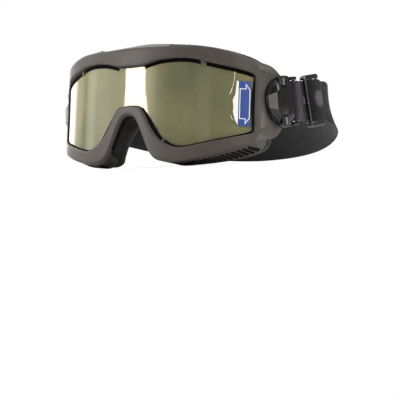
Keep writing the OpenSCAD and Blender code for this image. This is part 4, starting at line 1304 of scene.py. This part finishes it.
# The webbing's hump over the slider's middle and rear bars
bars_up = WEB_T / 2 + 0.4
hump_top, hump_foot = bars_up + SLIDER_T + WEB_T / 2 + 0.12, WEB_T + 0.35
hump_front, hump_rear = 1.8 + WEB_T / 2 + 0.6 - SLIDER_L / 2, SLIDER_L / 2
HUMP = [(hump_front, hump_foot), (hump_front + 0.1, hump_foot + 1.2),
        (hump_front + 0.8, hump_top - 0.7), (-1.8, hump_top - 0.05), (0.2, hump_top + 0.12),
        (2.6, hump_top), (4.8, hump_top - 0.4), (hump_rear - 0.9, hump_top - 0.75),
        (hump_rear + 0.7, hump_top - 1.4), (hump_rear + 1.5, hump_foot + 0.6),
        (hump_rear + HUMP_REACH, hump_foot)]
hump = smooth_line(HUMP, 4)
skew = math.tan(math.radians(SLIDER_SKEW))
slider_mid = SLIDER_AT + SLIDER_L / 2
profile = web_profile(WEB_W / 2 + 0.8, WEB_T / 2)      # spread a little by the bars
hump_points, hump_uv = [], []
hump_length = lengths_along(hump)
for i, p in enumerate(hump):
    t = way_at(hump, i)
    for y, h in profile:
        hump_points.append(run_point(slider_mid + p[0] - t[1] * h - y * skew, y,
                                     p[1] + t[0] * h))
        hump_uv.append((hump_length[i] / 1000 + HUMP_ALONG, y / 1000))
for side in SIDES:
    fold = web_piece(f"webbing_hump_{side}", hump_points, hump_uv, len(profile), len(hump),
                     side)
    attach(fold, f"slider_{side}")
    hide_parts(f"slider_fold_{side}")


# ---------------------------------------------------------------- stitches
def stitch_tree():
    """Short stitches laid on a path: one thread capsule at each even step."""
    tree = bpy.data.node_groups.new("stitches on a path", "GeometryNodeTree")
    face = tree.interface
    face.new_socket("Geometry", in_out="INPUT", socket_type="NodeSocketGeometry")
    sizes = {}
    for label_of in ("Stitch pitch", "Stitch length", "Thread radius"):
        sizes[label_of] = face.new_socket(label_of, in_out="INPUT",
                                          socket_type="NodeSocketFloat").identifier
    face.new_socket("Geometry", in_out="OUTPUT", socket_type="NodeSocketGeometry")
    into, out = tree.nodes.new("NodeGroupInput"), tree.nodes.new("NodeGroupOutput")
    line = add(tree, "GeometryNodeMeshToCurve", {"Mesh": into.outputs["Geometry"]})
    steps = add(tree, "GeometryNodeResampleCurve", {"Curve": line.outputs[0]}, mode="LENGTH")
    tree.links.new(into.outputs["Stitch pitch"], steps.inputs["Length"])
    way = add(tree, "GeometryNodeInputTangent")
    turn = add(tree, "FunctionNodeAlignRotationToVector", {"Vector": way.outputs[0]}, axis="Z")
    thread = add(tree, "GeometryNodeMeshUVSphere", {"Segments": 8, "Rings": 6, "Radius": 1.0})
    size = add(tree, "ShaderNodeCombineXYZ", {"X": into.outputs["Thread radius"],
               "Y": into.outputs["Thread radius"]})
    half = add(tree, "ShaderNodeMath", {0: into.outputs["Stitch length"], 1: 0.5},
               operation="MULTIPLY")
    tree.links.new(half.outputs[0], size.inputs["Z"])
    spread = add(tree, "GeometryNodeInstanceOnPoints", {"Points": steps.outputs[0],
                 "Instance": thread.outputs["Mesh"], "Rotation": turn.outputs[0],
                 "Scale": size.outputs[0]})
    loose = add(tree, "GeometryNodeRealizeInstances", {"Geometry": spread.outputs[0]})
    paint = add(tree, "GeometryNodeSetMaterial", {"Geometry": loose.outputs[0]})
    paint.inputs["Material"].default_value = THREAD
    tree.links.new(paint.outputs[0], out.inputs[0])
    return tree, sizes


STITCHES, STITCH_SIZES = stitch_tree()


def sewn(name, pts, body, pitch, length, radius):
    """Stitches along a line of goggle points, riding on a body; sizes in millimetres."""
    edges = [(k, k + 1) for k in range(len(pts) - 1)]
    mesh = bpy.data.meshes.new(name)
    mesh.from_pydata([tuple(p) for p in seated(pts)], edges, [])
    made = in_scene(name, mesh)
    rows = made.modifiers.new("stitches", "NODES")
    rows.node_group = STITCHES
    for key, value in (("Stitch pitch", pitch), ("Stitch length", length),
                       ("Thread radius", radius)):
        rows[STITCH_SIZES[key]] = value / 1000
    settle(made, 60)
    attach(made, body)


off = WEB_T / 2 + 0.05     # the thread lies just proud of the webbing's face
for side in SIDES:
    # Bar tack that holds the sewn-back end, beside the slider
    zigzag = [run_point(SLIDER_AT - 2.6 + (k % 2) * 1.9 + 0.12 * k, 2.6 - k * 0.7, off)
              for k in range(8)]
    sewn(f"bar_tack_{side}", on_side(zigzag, side), f"clip_{side}", pitch=0.9, length=1.3,
         radius=0.17)
    # One row across the webbing, behind the clip's bar
    row = [run_point(RUN_FROM + 1.2, y, off) for y in np.linspace(-13.4, 13.4, 12)]
    sewn(f"cross_seam_{side}", on_side(row, side), f"clip_{side}", pitch=1.9, length=1.4,
         radius=0.16)


# ---------------------------------------------------------------- stage, light, camera
def stage_plane(name, corners, material):
    """A flat four-cornered piece of the stage."""
    mesh = bpy.data.meshes.new(name)
    mesh.from_pydata(corners, [], [(0, 1, 2, 3)])
    mesh.materials.append(material)
    in_scene(name, mesh)


def pale_floor():
    """Pale floor that still takes the object's shadow."""
    made = bpy.data.materials.new("pale floor")
    made.use_nodes = True
    tree = made.node_tree
    shader = tree.nodes["Principled BSDF"]
    shader.inputs["Base Color"].default_value = srgb("#f2f2f2")
    shader.inputs["Roughness"].default_value = 0.9
    glow = add(tree, "ShaderNodeEmission", {"Strength": 1.0})
    where = add(tree, "ShaderNodeTexCoord")
    away = add(tree, "ShaderNodeVectorMath", {0: where.outputs["Object"]}, operation="LENGTH")
    fade = add(tree, "ShaderNodeMapRange", {"Value": away.outputs["Value"],
               "From Min": 0.22, "From Max": 0.8, "To Min": 0.72, "To Max": 1.0})
    seen = add(tree, "ShaderNodeLightPath")
    share = add(tree, "ShaderNodeMath", {0: seen.outputs["Is Camera Ray"],
                1: fade.outputs["Result"]}, operation="MULTIPLY")
    mixed = add(tree, "ShaderNodeMixShader", {0: share.outputs[0],
                1: shader.outputs[0], 2: glow.outputs[0]})
    tree.links.new(mixed.outputs[0], tree.nodes["Material Output"].inputs["Surface"])
    return made


def card_cloth(name, strength):
    """Cloth that only gives light, where a strength of 1 is white."""
    made = bpy.data.materials.new(name + " cloth")
    made.use_nodes = True
    tree = made.node_tree
    tree.nodes.remove(tree.nodes["Principled BSDF"])
    glow = add(tree, "ShaderNodeEmission", {"Strength": strength})
    tree.links.new(glow.outputs[0], tree.nodes["Material Output"].inputs["Surface"])
    return made


LENS_AT = Vector((0.0, -0.08, 0.055))      # the lens's middle, in metres


def room_point(azimuth, elevation, distance):
    """A place in the room as the lens sees it: degrees from straight ahead, and up."""
    a, e = math.radians(azimuth), math.radians(elevation)
    return LENS_AT + distance * Vector((math.sin(a), -math.cos(a), math.tan(e)))


def gloss_only(name, mesh):
    """Sets up a cloth of the stage that only gloss shows."""
    made = in_scene(name, mesh)
    made.visible_camera = made.visible_diffuse = made.visible_shadow = False
    made.visible_transmission = False


def seen_in_gloss(name, outline, distance, strength):
    """A lit or dim flat cloth. Its outline is [azimuth, elevation] in degrees."""
    corners = [room_point(azimuth, elevation, distance) for azimuth, elevation in outline]
    mesh = bpy.data.meshes.new(name)
    mesh.from_pydata(corners, [], [(0, k, k + 1) for k in range(1, len(corners) - 1)])
    mesh.materials.append(card_cloth(name, strength))
    gloss_only(name, mesh)


def studio_wall(knots, low=-10.0, high=60.0, distance=2.2):
    """Walls and cloths round the front, from dark to lit: knots holds [azimuth,
    strength], and the light changes evenly from each to the next."""
    corners = [room_point(azimuth, elevation, distance)
               for azimuth, _ in knots for elevation in (low, high)]
    mesh = bpy.data.meshes.new("studio wall")
    mesh.from_pydata(corners, [], [(2 * k, 2 * k + 1, 2 * k + 3, 2 * k + 2)
                                   for k in range(len(knots) - 1)])
    mesh.attributes.new("lit", "FLOAT", "POINT").data.foreach_set(
        "value", [strength for _, strength in knots for _ in range(2)])
    cloth = card_cloth("studio wall", 1.0)
    lit = add(cloth.node_tree, "ShaderNodeAttribute", attribute_name="lit")
    cloth.node_tree.links.new(lit.outputs["Fac"],
                              cloth.node_tree.nodes["Emission"].inputs["Strength"])
    mesh.materials.append(cloth)
    gloss_only("studio wall", mesh)


def upright(first, last, low=-14, high=42):
    """Outline of an upright cloth between two azimuths."""
    return [(first, low), (first, high), (last, high), (last, low)]


FLOOR_HALF, FLOOR_Z = 8, -0.0003
stage_plane("floor", [(x * FLOOR_HALF, y * FLOOR_HALF, FLOOR_Z)
                      for x, y in ((-1, -1), (1, -1), (1, 1), (-1, 1))], pale_floor())
seen_in_gloss("front softbox", [(-40.8, 3), (-40.8, 28), (-21.9, 28), (-21.9, 18.3),
              (-20.8, 17.2), (-18.4, 16.3), (-17.2, 15.2), (-17.2, 3)], 1.5, 29.0)
seen_in_gloss("side softbox", upright(-141, -111), 1.5, 5.0)
studio_wall([(-111, 3.8), (-104, 1.0), (-96, 1.1), (-92, 0.4), (-88, 0.5), (-84, 2.0),
             (-78, 2.9), (-72, 2.2), (-66, 2.5), (-60, 2.9), (-50, 2.5), (-42, 2.8),
             (-23, 6.2), (-19, 4.6), (-15, 3.6), (-11, 1.6), (-7, 1.3), (-2, 0.6), (8, 0.5),
             (16, 0.2), (22, 0.3), (28, 1.0), (33, 0.6), (37, 0.05), (70, 0.1), (73, 5.0),
             (88, 5.0), (90, 0.3), (185, 0.3)])
# Dim things in the room that the near half of the lens mirrors
for k, (first, last, low, high) in enumerate(((2, 14, 18.6, 19.1), (17, 38, 17.6, 18.6),
                                              (12, 22, 15.4, 17.0), (9, 19, 17.0, 17.6))):
    seen_in_gloss(f"dim card {k + 1}", upright(first, last, low, high), 2.0, 0.75)


def area_lamp(name, way, distance, size, power):
    """A round soft lamp that shines at the goggles and isn't seen in gloss."""
    data = bpy.data.lights.new(name, "AREA")
    data.shape, data.size, data.energy = "DISK", size, power
    lamp = in_scene(name, data)
    way = Vector(way).normalized()
    lamp.location = Vector((0, -0.02, 0.05)) + way * distance
    lamp.rotation_mode = "QUATERNION"
    lamp.rotation_quaternion = way.to_track_quat("Z", "Y")
    lamp.visible_glossy = False


area_lamp("key", (-1.04, -0.26, 0.6), 1.6, 0.8, 30.0)
area_lamp("fill", (0.94, 0.34, 0.4), 1.6, 0.8, 20.0)
area_lamp("top", (0.1, 0.1, 1.0), 1.4, 0.8, 6.0)

world = bpy.data.worlds.new("studio")
bpy.context.scene.world = world
world.use_nodes = True
sky = world.node_tree
rays = add(sky, "ShaderNodeLightPath")
shiny = add(sky, "ShaderNodeMath", {0: rays.outputs["Is Camera Ray"],
            1: rays.outputs["Is Glossy Ray"]}, operation="MAXIMUM")
either = add(sky, "ShaderNodeMath", {0: shiny.outputs[0],
             1: rays.outputs["Is Transmission Ray"]}, operation="MAXIMUM")
level = add(sky, "ShaderNodeMapRange", {"Value": either.outputs[0], "To Min": 0.31,
            "To Max": 1.0})
back = sky.nodes["Background"]
back.inputs["Color"].default_value = (1, 1, 1, 1)
sky.links.new(level.outputs["Result"], back.inputs["Strength"])

# Camera: fitted to the lens and frame in the photograph, in the model's frame
CAMERA_AT = (0.504762, -0.845261, 0.005387)
CAMERA_RIGHT = (0.858137, 0.511721, -0.041747)
CAMERA_UP = (0.018123, 0.051071, 0.998531)
CAMERA_BACK = (0.513102, -0.857632, 0.034552)
CAMERA_FOCAL = 109.35
lens_data = bpy.data.cameras.new("camera")
lens_data.sensor_width, lens_data.lens = 36.0, CAMERA_FOCAL
lens_data.clip_start, lens_data.clip_end = 0.01, 100
camera = in_scene("camera", lens_data)
turn = Matrix((CAMERA_RIGHT, CAMERA_UP, CAMERA_BACK)).transposed()
camera.matrix_world = Matrix.Translation(CAMERA_AT) @ turn.to_4x4()
bpy.context.scene.camera = camera
bpy.context.scene.view_settings.view_transform = "Standard"
